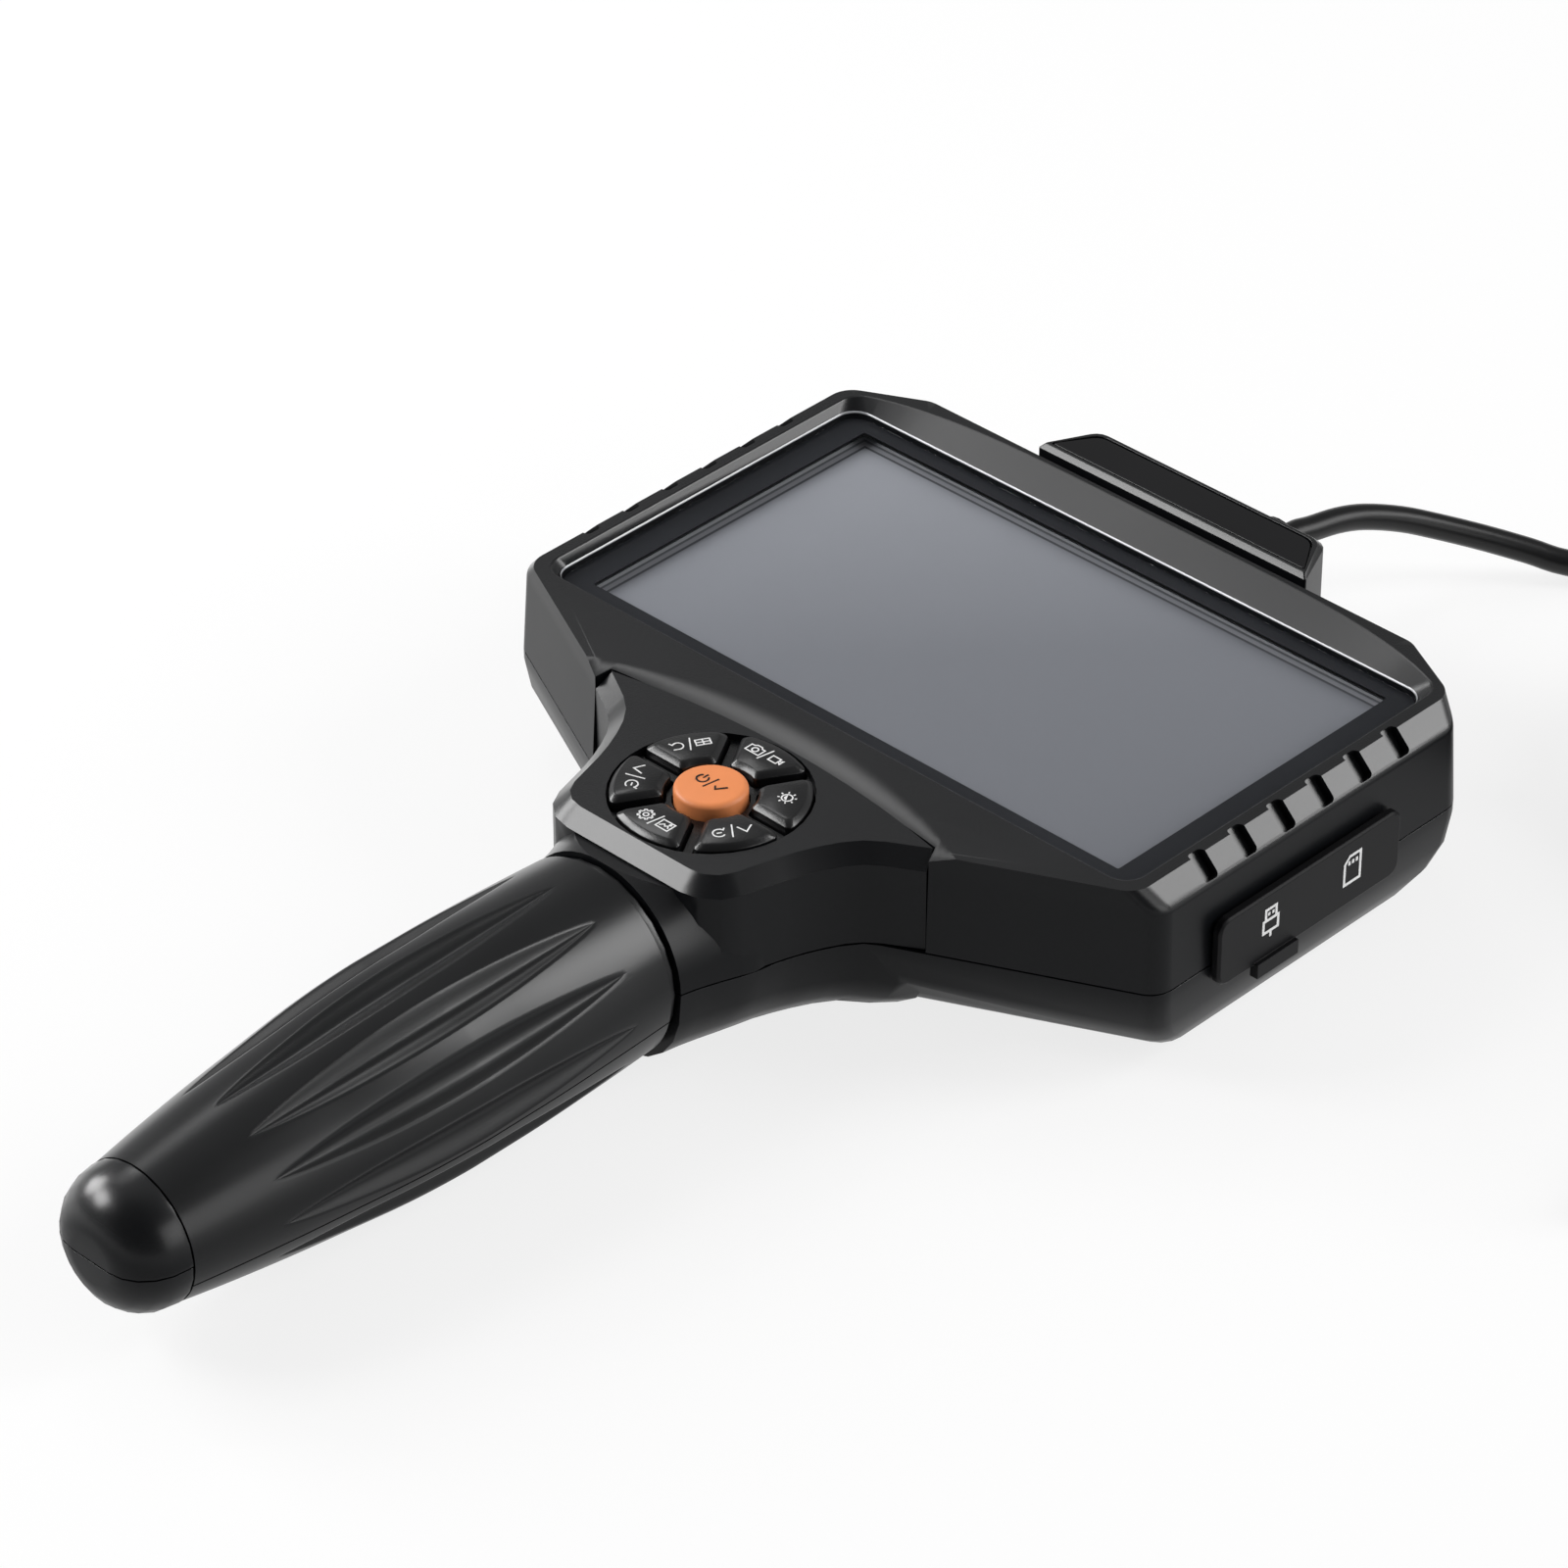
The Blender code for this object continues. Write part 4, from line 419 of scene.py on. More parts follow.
def head_ring(side, grow, z):
    """Outline of the head at one height, from the outward direction and distance of each face, set out by grow."""
    faces = (
        (0.0, -1.0, 0.056183),
        (0.438572, -0.898696, 0.061118),
        (1.0, 0.0, side),
        (0.460612, 0.887602, 0.061056),
        (0.0, 1.0, HEAD_FAR),
    )
    right = []
    for (ax, ay, a), (bx, by, b) in zip(faces, faces[1:]):
        turn = ax * by - ay * bx
        x = ((a + grow) * by - (b + grow) * ay) / turn
        y = (ax * (b + grow) - bx * (a + grow)) / turn
        right.append((x, y, HEAD_CORNER))
    return at_height(round_off(right + [(-x, y, radius) for x, y, radius in reversed(right)], 8), z)


def recess_outline(half, near, far, fall, corner):
    """Plan outline of the recess, whose far edge is an arch that falls towards the corners."""
    reach = half - ARCH_SETBACK
    shares = [reach / half * (1 - 2 * step / ARCH_STEPS) for step in range(ARCH_STEPS + 1)]
    arch = [(half * share, far - fall * abs(share) ** ARCH_POWER, 0.0) for share in shares]
    right = [(half, near, corner), (half, far - fall, corner)]
    return round_off(right + arch + [(-x, y, radius) for x, y, radius in reversed(right)], 8)


def recess_ring(grow, z, bezel, corner, fall):
    half = GLASS_HALF + SEAT_GAP + grow
    near = GLASS_NEAR - SEAT_GAP - grow
    return at_height(recess_outline(half, near, GLASS_FAR + bezel, fall, corner), z)


def round_between(first, edge, last, steps=4):
    """Rings that round off the edge where two faces would meet."""
    rings = []
    for share in (step / steps for step in range(steps + 1)):
        a, b, c = (1 - share) ** 2, 2 * share * (1 - share), share**2
        rings.append([
            tuple(a * p + b * q + c * r for p, q, r in zip(*spots)) for spots in zip(first, edge, last)
        ])
    return rings


def arc_fall(half, fall, x):
    """Fall at x of a round arc that falls by fall at half its width."""
    radius = (half**2 + fall**2) / (2 * fall)
    return radius - (radius**2 - x**2) ** 0.5


def stack(body, rings, closed=False):
    """Walls between rings that have as many points each, and from the last to the first where closed."""
    loops = [[body.verts.new(point) for point in ring] for ring in rings]
    for lower, upper in zip(loops, loops[1:] + (loops[:1] if closed else [])):
        for index in range(len(lower)):
            after = (index + 1) % len(lower)
            body.faces.new((lower[index], lower[after], upper[after], upper[index]))
    return loops


def ring_edges(body, loop):
    return [body.edges.get((loop[index - 1], loop[index])) for index in range(len(loop))]


def cut_away(name, mesh, cutter):
    """The mesh with a cutter's shape taken out of it."""
    tool = placed(name + "_cutter", cutter)
    left = baked(name, mesh, "BOOLEAN", object=tool, operation="DIFFERENCE", solver="EXACT")
    bpy.data.objects.remove(tool)
    bpy.data.meshes.remove(cutter)
    return left


def prism_of(name, sections):
    """A closed body through flat sections that have as many points each."""
    body = bmesh.new()
    loops = stack(body, sections)
    for loop in (loops[0], loops[-1]):
        bmesh.ops.edgeloop_fill(body, edges=ring_edges(body, loop))
    return mesh_of(name, body)


def grown(name, inputs, build, points=()):
    """The plain mesh that a tree of geometry nodes grows from named sizes and, where given, points."""
    tree = bpy.data.node_groups.new(name, "GeometryNodeTree")
    for way in ("INPUT", "OUTPUT"):
        tree.interface.new_socket("Geometry", in_out=way, socket_type="NodeSocketGeometry")
    keys = {}
    for label, value in inputs.items():
        kind = "NodeSocketMaterial" if isinstance(value, bpy.types.Material) else "NodeSocketFloat"
        keys[tree.interface.new_socket(label, in_out="INPUT", socket_type=kind).identifier] = value
    entry = tree.nodes.new("NodeGroupInput")
    given = {label: Socket(tree, entry.outputs[label]) for label in ("Geometry", *inputs)}
    shape = build(Socket(tree), given)
    single = shape.node("GeometryNodeRealizeInstances", {}, {"Geometry": shape})
    dressed = single.node("GeometryNodeSetMaterial", {}, {"Geometry": single, "Material": given["Finish"]})
    tree.links.new(dressed.output, tree.nodes.new("NodeGroupOutput").inputs[0])
    seed = bpy.data.meshes.new(name + "_seed")
    seed.from_pydata([tuple(point) for point in points], [], [])
    holder = placed(name, seed)
    growth = holder.modifiers.new(name, "NODES")
    growth.node_group = tree
    for key, value in keys.items():
        growth[key] = value
    return plain_mesh(name, holder)


def slot_cutters(start, given):
    """A bar with round corners on each point, leaned over by the chamfer's angle to its own side."""
    outline = start.node("GeometryNodeCurvePrimitiveQuadrilateral", {}, {0: given["Length"], 1: given["Width"]})
    soft = start.node(
        "GeometryNodeFilletCurve", {"mode": "POLY"}, {"Curve": outline, "Count": 5, "Radius": given["Corner"]}
    )
    ends = {"Start": start.vector(Z=given["Depth"] * -1.0), "End": start.vector(Z=given["Depth"])}
    path = start.node("GeometryNodeCurvePrimitiveLine", {}, ends)
    bar = start.node("GeometryNodeCurveToMesh", {}, {"Curve": path, "Profile Curve": soft, "Fill Caps": True})
    side = start.node("GeometryNodeInputPosition").part("X")
    lean = start.vector(Y=start.math("SIGN", side) * (pi / 4))
    return start.node(
        "GeometryNodeInstanceOnPoints", {}, {"Points": given["Geometry"], "Instance": bar, "Rotation": lean}
    )


wall_half = RIM_HALF + SIDE_CHAMFER
chamfer_low = RIM_FACE - SIDE_CHAMFER
outer = [
    head_ring(wall_half, WALL_DRAFT - WALL_THICKNESS, LEDGE_LOW),
    head_ring(wall_half, WALL_DRAFT - WALL_THICKNESS, FRONT_LOW),
    head_ring(wall_half, WALL_DRAFT, FRONT_LOW),
    *round_between(
        head_ring(wall_half, WALL_DRAFT * 0.06, chamfer_low - CHAMFER_EASE),
        head_ring(wall_half, 0.0, chamfer_low),
        head_ring(wall_half - CHAMFER_EASE, 0.0, chamfer_low + CHAMFER_EASE),
    ),
    head_ring(RIM_HALF, 0.0, RIM_FACE),
]
seat = recess_ring(0.0, GLASS_FACE, SEAT_GAP, SEAT_CORNER, 0.0)
mouth = recess_ring(RIM_LEAN, RIM_FACE, BEZEL_WIDTH, SEAT_CORNER, ARCH_FALL)
below = [tuple(Vector(b) + (Vector(a) - Vector(b)).normalized() * RIM_EASE) for a, b in zip(seat, mouth)]
beyond = recess_ring(
    RIM_LEAN + RIM_EASE, RIM_FACE, BEZEL_WIDTH + RIM_EASE, SEAT_CORNER + RIM_EASE, ARCH_FALL
)
hole = recess_outline(*LEDGE_HOLE, 0.0, LEDGE_CORNER)
inner = [
    *reversed(round_between(below, mouth, beyond)),
    seat,
    recess_ring(0.0, LEDGE_HIGH, SEAT_GAP, SEAT_CORNER, 0.0),
    at_height(hole, LEDGE_HIGH),
    at_height(hole, LEDGE_LOW),
]
body = bmesh.new()
ceiling, *_, rim = stack(body, outer)
rim_inner, *_, window = stack(body, inner)
for first, second in ((ceiling, window), (rim, rim_inner)):
    both = ring_edges(body, first) + ring_edges(body, second)
    bmesh.ops.triangle_fill(body, edges=both, use_beauty=True)
front = mesh_of("front_moulding_blank", body)

arc = [SEAM_HALF * (1 - step / 24) for step in range(49)]
seam = [*SEAM_SIDE, *[(x, SEAM_TOP - arc_fall(SEAM_HALF, SEAM_FALL, x)) for x in arc]]
seam += [(-x, y) for x, y in reversed(SEAM_SIDE)]
front = cut_away("seam_cut", front, prism_of("deck_seam", [at_height(seam, z) for z in SEAM_CUT]))
drop = BAND_REACH * tan(BAND_SLOPE)
sections = []
for step in range(65):
    x = BAND_HALF * (1 - step / 32)
    top = BAND_TOP - arc_fall(BAND_HALF, BAND_FALL, x)
    corners = ((BAND_REACH, drop), (-BAND_REACH, -drop), (-BAND_REACH, BAND_REACH))
    sections.append([(x, top + y, RIM_FACE + z) for y, z in corners])
front = cut_away("band_cut", front, prism_of("band_slope", sections))
front = eased("front_eased", front, 0.0004, 30, miter_outer="MITER_ARC")
sizes = {"Finish": charcoal, "Length": 0.0050, "Width": 0.0032, "Corner": 0.0008, "Depth": 0.0016}
places = [
    (side * SLOT_SIDE, (number - 2.5) * SLOT_PITCH + SLOT_SHIFT, SLOT_HEIGHT)
    for side in (1, -1)
    for number in range(6)
]
front = cut_away("slot_cut", front, grown("side_slots", sizes, slot_cutters, places))
low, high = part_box("port_flap")
bay_near, bay_far = low.y + BAY_SETBACK, high.y - BAY_SETBACK
bay = [(BAY_INNER, bay_near), (BAY_OUTER, bay_near), (BAY_OUTER, bay_far), (BAY_INNER, bay_far)]
sections = [at_height(bay, BAY_LOW), at_height(bay, high.z - BAY_SETBACK)]
front = cut_away("bay_cut", front, prism_of("port_bay", sections))
fit("front_moulding", settled("front_moulding", front), charcoal, ["head_front_shell"])


# Cover glass: toughened glass with chamfered edges, taped into the recess of the front moulding.
# A near-black border is printed on its back, and only the field of the display is left clear.
# A pale bead round its top edge stands for the ground edge, and is made pale as a painted highlight along it.
GLASS_EDGE = 0.0001
GLASS_CORNER = 0.0035
PRINT_THICKNESS = 0.00006
WINDOW_HALF = (0.05535, 0.03115)
WINDOW_CORNER = 0.0003
BEAD = 0.00018
BEAD_FOOT = 0.00004


def rounded_corners(low_x, low_y, high_x, high_y, radius):
    """A rectangle with round corners, counter-clockwise."""
    corners = ((high_x, low_y), (high_x, high_y), (low_x, high_y), (low_x, low_y))
    return round_off([(x, y, radius) for x, y in corners], 8)


def lofted(name, rings, crease, capped=True):
    """A closed body through rings that have as many points each."""
    body = bmesh.new()
    loops = stack(body, rings, closed=not capped)
    if capped:
        body.faces.new(loops[0])
        body.faces.new(loops[-1])
    return smoothed(mesh_of(name, body), crease)


low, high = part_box("cover_glass")


def glass_outline(grow, corner):
    """Plan outline of the glass, set out by grow."""
    return rounded_corners(low.x - grow, low.y - grow, high.x + grow, high.y + grow, corner)


glass, glass_shader, place = new_finish("polished_cover_glass", 0.04, 0.3)
(0.03 + place.noise(30.0, 3.0) * 0.03).feed(glass_shader, "Roughness")
glass_shader.inputs["Base Color"].default_value = (0.012, 0.013, 0.016, 1.0)
glass_shader.inputs["Alpha"].default_value = 0.10
rings = []
for inset, z in ((GLASS_EDGE, low.z), (0.0, low.z + GLASS_EDGE), (0.0, high.z - GLASS_EDGE), (GLASS_EDGE, high.z)):
    rings.append(at_height(glass_outline(-inset, GLASS_CORNER - inset), z))
fit("ground_cover_glass", lofted("ground_cover_glass", rings, 20), glass, ["cover_glass"])

# Painted highlight: the pale bead round the glass's top edge stands in for the light that the edge catches.
ground_edge_painted_highlight = moulded(
    "ground_glass_edge_painted_highlight", (0.42, 0.43, 0.45), roughness=0.25, specular=0.5, grain=0.0001, relief=0.1, polish=1.0
)
rings = []
for grow, z in ((BEAD_FOOT, high.z - BEAD), (BEAD_FOOT, high.z), (BEAD, high.z + BEAD), (BEAD, high.z - BEAD)):
    rings.append(at_height(glass_outline(grow, GLASS_CORNER + grow), z))
fit("glass_bead_painted_highlight", lofted("glass_bead_painted_highlight", rings, 20, capped=False), ground_edge_painted_highlight)

ink = moulded(
    "border_print_ink", (0.0240, 0.0258, 0.0305), roughness=0.5, specular=0.2, grain=0.0001, relief=0.02
)
outer = glass_outline(-GLASS_EDGE, GLASS_CORNER)
inner = rounded_corners(-WINDOW_HALF[0], -WINDOW_HALF[1], WINDOW_HALF[0], WINDOW_HALF[1], WINDOW_CORNER)
print_low = low.z - 2 * PRINT_THICKNESS
print_high = low.z - PRINT_THICKNESS
rings = [
    at_height(outer, print_low),
    at_height(outer, print_high),
    at_height(inner, print_high),
    at_height(inner, print_low),
]
fit("glass_border_print", lofted("glass_border_print", rings, 20, capped=False), ink)


# Keypad deck: the front moulding of the neck, with a chamfer all round and a round recess for the keys.
# It is charcoal plastic like the head, and runs on inside the grip as the front half of the core.
dress("deck_moulding", "keypad_deck", charcoal)


# Keys: six sectors of moulded silicone round the middle button, each with sloping sides and a flange below.
# Their pictograms are printed in white, with a fine rule between the two jobs of a key.
KEYPAD_Y = -0.06115
KEY_INNER = 0.0072
KEY_OUTER = 0.0155
KEY_SPACING = 0.0020
KEY_CORNER = 0.0009
KEY_FLANGE = 0.0006
KEY_FLANGE_HEIGHT = 0.0010
KEY_EDGE = 0.00018
KEY_NAMES = ("upper_right", "top", "upper_left", "lower_left", "bottom", "lower_right")
PRINT_HEIGHT = 0.00004
PRINT_SINK = 0.00002
PRINT_LAYER = 0.000002
STROKE = 0.00023
SIGN_SCALE = 0.00101
SIGN_SHIFT = 0.00205
SIGN_OUTSET = 0.0009


def key_sector(grow, turn):
    """Plan outline of one key about the keypad's middle, set out by grow."""
    inner = KEY_INNER - grow
    outer = KEY_OUTER + grow
    gap = KEY_SPACING / 2 - grow
    half_inner = radians(30) - asin(gap / inner)
    half_outer = radians(30) - asin(gap / outer)
    points = []
    for radius, half, steps in ((outer, half_outer, 8), (inner, -half_inner, 4)):
        for step in range(steps + 1):
            angle = turn + half * (2 * step / steps - 1)
            corner = KEY_CORNER if step in (0, steps) else 0.0
            points.append((radius * cos(angle), radius * sin(angle), corner))
    return round_off(points)


def ribbon(body, points, width, low, high, closed=False):
    """A flat line of even width through points, with mitred corners and square ends."""
    count = len(points)
    sides = ([], [])
    for index, point in enumerate(points):
        here = Vector(point)
        before = here - Vector(points[index - 1]) if closed or index else None
        after = Vector(points[(index + 1) % count]) - here if closed or index < count - 1 else None
        before = (before or after).normalized()
        after = (after or before).normalized()
        normal = Vector((-before.y - after.y, before.x + after.x)).normalized()
        reach = width / 2 / max(0.4, normal.dot(Vector((-before.y, before.x))))
        for side, sign in zip(sides, (1, -1)):
            spot = here + normal * reach * sign
            side.append((body.verts.new((spot.x, spot.y, low)), body.verts.new((spot.x, spot.y, high))))
    left, right = sides
    for index in range(count if closed else count - 1):
        after = (index + 1) % count
        body.faces.new((left[index][1], right[index][1], right[after][1], left[after][1]))
        body.faces.new((left[index][0], left[after][0], right[after][0], right[index][0]))
        body.faces.new((left[index][0], left[index][1], left[after][1], left[after][0]))
        body.faces.new((right[index][0], right[after][0], right[after][1], right[index][1]))
    if not closed:
        for index in (0, -1):
            body.faces.new((left[index][0], right[index][0], right[index][1], left[index][1]))


def printed(name, signs, width, low, high):
    """Signs of (points, closed) lines, where each line of a sign lies a hair above the one before."""
    body = bmesh.new()
    for sign in signs:
        for layer, (points, closed) in enumerate(sign):
            ribbon(body, points, width, low, high + layer * PRINT_LAYER, closed)
    return mesh_of(name, body)


def moved(sign, scale, x, y):
    """The lines of a sign, scaled and then moved."""
    return [([(u * scale + x, v * scale + y) for u, v in points], closed) for points, closed in sign]


def ring_points(radius, start=0, end=360, steps=20, middle=(0.0, 0.0)):
    turns = [radians(start + (end - start) * step / steps) for step in range(steps + 1)]
    points = [(middle[0] + radius * cos(turn), middle[1] + radius * sin(turn)) for turn in turns]
    return points[:-1] if end - start == 360 else points


def box_line(left, low, right, high):
    return ([(left, low), (right, low), (right, high), (left, high)], True)


def sun_sign():
    turns = [radians(45 * step) for step in range(8)]
    rays = [[(reach * cos(turn), reach * sin(turn)) for reach in (1.15, 1.5)] for turn in turns]
    shade = [[(-0.78 + 0.2 * row, -0.12 * row), (0.78 - 0.2 * row, -0.12 * row)] for row in range(1, 4)]
    return [(ring_points(0.85), True)] + [(ray, False) for ray in rays + shade]


def gear_sign():
    teeth = []
    for tooth in range(8):
        turn = 2 * pi * tooth / 8
        for reach, swing in ((1.0, -0.20), (1.28, -0.12), (1.28, 0.12), (1.0, 0.20)):
            teeth.append((reach * cos(turn + swing), reach * sin(turn + swing)))
    return [(teeth, True), (ring_points(0.42), True)]


camera_top = [(1.35, 0.65), (0.75, 0.65), (0.45, 1.0), (-0.45, 1.0), (-0.75, 0.65), (-1.35, 0.65)]
camera_sign = [
    ([(-1.35, -0.95), (1.35, -0.95), *camera_top], True),
    (ring_points(0.52, middle=(0.0, -0.12)), True),
]
film_sign = [
    box_line(-0.95, -0.65, 0.65, 0.65),
    ([(0.7, 0.05), (1.25, 0.45), (1.25, -0.45), (0.7, -0.05)], False),
]
turn_sign = [
    (ring_points(0.95, 40, 320, 18), False),
    ([(0.35, 0.95), (0.78, 0.58), (1.05, 1.05)], False),
    ([(-0.35, 0.0), (0.45, 0.0)], False),
]
chevron_sign = [([(-1.1, 0.75), (0.0, -0.75), (1.1, 0.75)], False)]
picture_sign = [
    box_line(-1.2, -0.95, 1.2, 0.95),
    ([(-0.85, -0.5), (-0.3, 0.15), (0.1, -0.25), (0.45, 0.1), (0.85, -0.4)], False),
    (ring_points(0.16, steps=8, middle=(0.6, 0.5)), True),
]
back_sign = [
    (ring_points(0.85, -90, 150, 16, (0.1, -0.05)), False),
    ([(-1.1, 0.85), (-0.66, 0.36), (-0.15, 0.75)], False),
    ([(0.1, -0.9), (-0.75, -0.9)], False),
]
grid_sign = [
    box_line(-1.15, -0.7, 1.15, 0.7),
    ([(0.0, -0.7), (0.0, 0.7)], False),
    ([(-1.15, 0.0), (1.15, 0.0)], False),
]
key_rule = ([(-0.0003, -0.0016), (0.0003, 0.0016)], False)
SIGNS = {
    "upper_right": (sun_sign(),),
    "top": (camera_sign, film_sign),
    "upper_left": (back_sign, grid_sign),
    "lower_left": (chevron_sign, turn_sign),
    "bottom": (gear_sign(), picture_sign),
    "lower_right": (turn_sign, chevron_sign),
}

silicone = moulded(
    "black_key_silicone",
    (0.0045, 0.0046, 0.0052),
    roughness=0.30,
    specular=0.30,
    grain=0.00030,
    relief=0.55,
    polish=0.65,
)
white_ink = moulded(
    "white_print_ink", (0.80, 0.80, 0.80), roughness=0.5, specular=0.3, grain=0.0001, relief=0.05
)
for number, name in enumerate(KEY_NAMES):
    turn = radians(30 + 60 * number)
    low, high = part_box("key_" + name)
    flange_top = low.z + KEY_FLANGE_HEIGHT
    levels = [
        (KEY_FLANGE, low.z),
        (KEY_FLANGE, flange_top),
        (0.0, flange_top),
        (-0.00005, high.z - 0.00088),
        (-0.00080, high.z - 0.00010),
        (-0.00105, high.z),
    ]
    rings = [[(x, y + KEYPAD_Y, z) for x, y in key_sector(grow, turn)] for grow, z in levels]
    piece = "silicone_key_" + name
    key = eased(piece, lofted(piece, rings, 25), KEY_EDGE, 25, segments=2, harden_normals=True)
    fit(piece, key, silicone, ["key_" + name], "button_" + name)
    lines = []
    for side, sign in zip((-1, 1), SIGNS[name]):
        lines += moved(sign, SIGN_SCALE, side * SIGN_SHIFT if len(SIGNS[name]) == 2 else 0.0, 0.0)
    if len(SIGNS[name]) == 2:
        lines.append(key_rule)
    middle = Vector(((KEY_INNER + KEY_OUTER + SIGN_OUTSET) / 2, 0.0))
    centre = Matrix.Rotation(turn, 2) @ middle + Vector((0.0, KEYPAD_Y))
    reading = Matrix.Rotation(turn - pi / 2 if number < 3 else turn + pi / 2, 2)
    lines = [([reading @ Vector(point) + centre for point in points], closed) for points, closed in lines]
    marks = printed("key_sign_" + name, [lines], STROKE, high.z - PRINT_SINK, high.z + PRINT_HEIGHT)
    fit("key_sign_" + name, marks, white_ink, body="button_" + name)


# Middle button: a low dome of orange plastic with a rounded edge, which stands proud of the keys.
# A power sign and a tick are printed on it in black, with a rule between them.
OK_RADIUS = 0.005725
OK_FLANGE = 0.006325
OK_FLANGE_HEIGHT = 0.0010
OK_ROUND = 0.0011
OK_CROWN = 0.00025
OK_SIGN_SCALE = 0.001
low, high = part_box("ok_button")
crown = high.z - low.z
profile = [(0.0, crown)]
for step in range(1, 7):
    reach = (OK_RADIUS - OK_ROUND) * step / 6
    profile.append((reach, crown - OK_CROWN * (step / 6) ** 2))
for step in range(1, 9):
    angle = pi / 2 * step / 8
    drop = OK_CROWN + (OK_ROUND - OK_CROWN) * (1 - cos(angle))
    profile.append((OK_RADIUS - OK_ROUND + OK_ROUND * sin(angle), crown - drop))
profile += [(OK_RADIUS, OK_FLANGE_HEIGHT), (OK_FLANGE, OK_FLANGE_HEIGHT), (OK_FLANGE, 0.0), (0.0, 0.0)]
body = bmesh.new()
verts = [body.verts.new((radius, 0.0, height)) for radius, height in profile]
edges = [body.edges.new(pair) for pair in zip(verts, verts[1:])]
bmesh.ops.spin(body, geom=verts + edges, axis=(0.0, 0.0, 1.0), cent=(0.0, 0.0, 0.0), angle=2 * pi, steps=64)
bmesh.ops.remove_doubles(body, verts=body.verts, dist=0.000001)
dome_mesh = mesh_of("orange_ok_button", body)
dome_mesh.transform(Matrix.Translation((0.0, KEYPAD_Y, low.z)))
orange = moulded(
    "orange_button_plastic", (0.82, 0.275, 0.100), roughness=0.42, specular=0.35, grain=0.00025, relief=0.10
)
fit("orange_ok_button", smoothed(dome_mesh, 32), orange, ["ok_button"], "button_ok")
power_sign = [
    (ring_points(0.95, 125, 415, 20, (-1.75, 0.0)), False),
    ([(-1.75, 0.15), (-1.75, 1.25)], False),
]
tick_sign = [([(1.0, -0.1), (1.6, -0.75), (2.7, 0.85)], False)]
rule = [([(-0.25, -1.5), (0.25, 1.5)], False)]
signs = [[line] for line in moved(power_sign + tick_sign + rule, OK_SIGN_SCALE, 0.0, KEYPAD_Y)]
marks = printed("ok_button_sign", signs, STROKE * 1.15, high.z - 3 * OK_CROWN, high.z + PRINT_HEIGHT)
black_ink = moulded(
    "black_print_ink", (0.012, 0.010, 0.010), roughness=0.5, specular=0.3, grain=0.0001, relief=0.05
)
fit("ok_button_sign", marks, black_ink, body="button_ok")


# Ports: a data socket and a card slot on the edge of the main board, behind the cover on the head's side.
# Both are folded from plated steel and soldered down.
paint(nickel, "usb_port", "card_slot")


# Port cover: one moulding of black rubber that closes over the ports and swings out about its upper edge.
# A nub under its lower edge takes a fingernail; the two ports are marked in white.
COVER_FACE = 0.06985
PORT_SCALE = 0.0016
PORT_STROKE = 0.00050
PORT_SIGN_Z = 0.0204
PLUG_Y, CARD_Y = -0.0125, 0.0065
rubber = moulded(
    "black_cover_rubber", (0.0048, 0.0048, 0.0056), roughness=0.46, specular=0.14, grain=0.0002, relief=0.12
)
dress("port_cover_flap", "port_flap", rubber, 0.0003, "port_cover")
plug_sign = [
    ([(-0.75, 0.35), (-0.75, 1.6), (0.75, 1.6), (0.75, 0.35)], False),
    box_line(-1.05, -1.0, 1.05, 0.35),
    ([(-0.3, 0.85), (-0.3, 1.2)], False),
    ([(0.3, 0.85), (0.3, 1.2)], False),
    ([(0.0, -1.0), (0.0, -1.7)], False),
]
card_sign = [
    ([(-1.15, -1.55), (1.15, -1.55), (1.15, 1.55), (-0.45, 1.55), (-1.15, 0.85)], True),
    *[([(x, 0.55), (x, 1.0)], False) for x in (-0.5, 0.05, 0.6)],
]
signs = [moved(sign, PORT_SCALE, y, PORT_SIGN_Z) for sign, y in ((plug_sign, PLUG_Y), (card_sign, CARD_Y))]
marks = printed("port_signs", signs, PORT_STROKE, COVER_FACE - PRINT_SINK, COVER_FACE + PRINT_HEIGHT)
marks.transform(Matrix(((0, 0, 1, 0), (1, 0, 0, 0), (0, 1, 0, 0), (0, 0, 0, 1))))
fit("port_signs", marks, white_ink, body="port_cover")


# Cable block: a drafted block on the head's top end that the cable leaves through.
# A gloss black plate is let into its top, and a nut and a soft boot hold the cable.
gloss = moulded(
    "gloss_black_plate", (0.0060, 0.0060, 0.0068), roughness=0.10, specular=0.45, grain=0.0004, relief=0.01
)
dress("cable_block_skin", "cable_block", charcoal)
dress("let_in_plate", "block_plate", gloss)
dress("gland_nut_skin", "gland_nut", charcoal)
dress("strain_relief_boot", "strain_relief", rubber)


# Grip: two rubber halves round the core, split low on the sides, with twelve leaf-shaped hollows.
# Each half is moulded in satin rubber; a dark ring fills the groove between the neck and the grip.
GRIP_START = 0.0866
GRIP_LENGTH = 0.0904
GRIP_AXIS = 0.0175
GRIP_WALL = 0.0024
GRIP_EDGE = 0.0002
GRIP_WIDEST = 0.01742
GRIP_SHAPE = (
    (0.0, 0.01650),
    (0.15, 0.01710),
    (0.30, 0.01742),
    (0.48, 0.01720),
    (0.70, 0.01530),
    (0.87, 0.01340),
    (1.0, 0.01160),
)
FLUTE_TURN = 2 * pi / 12
FLUTE_COLUMNS = 0.25
FLUTE_FAN = 0.008


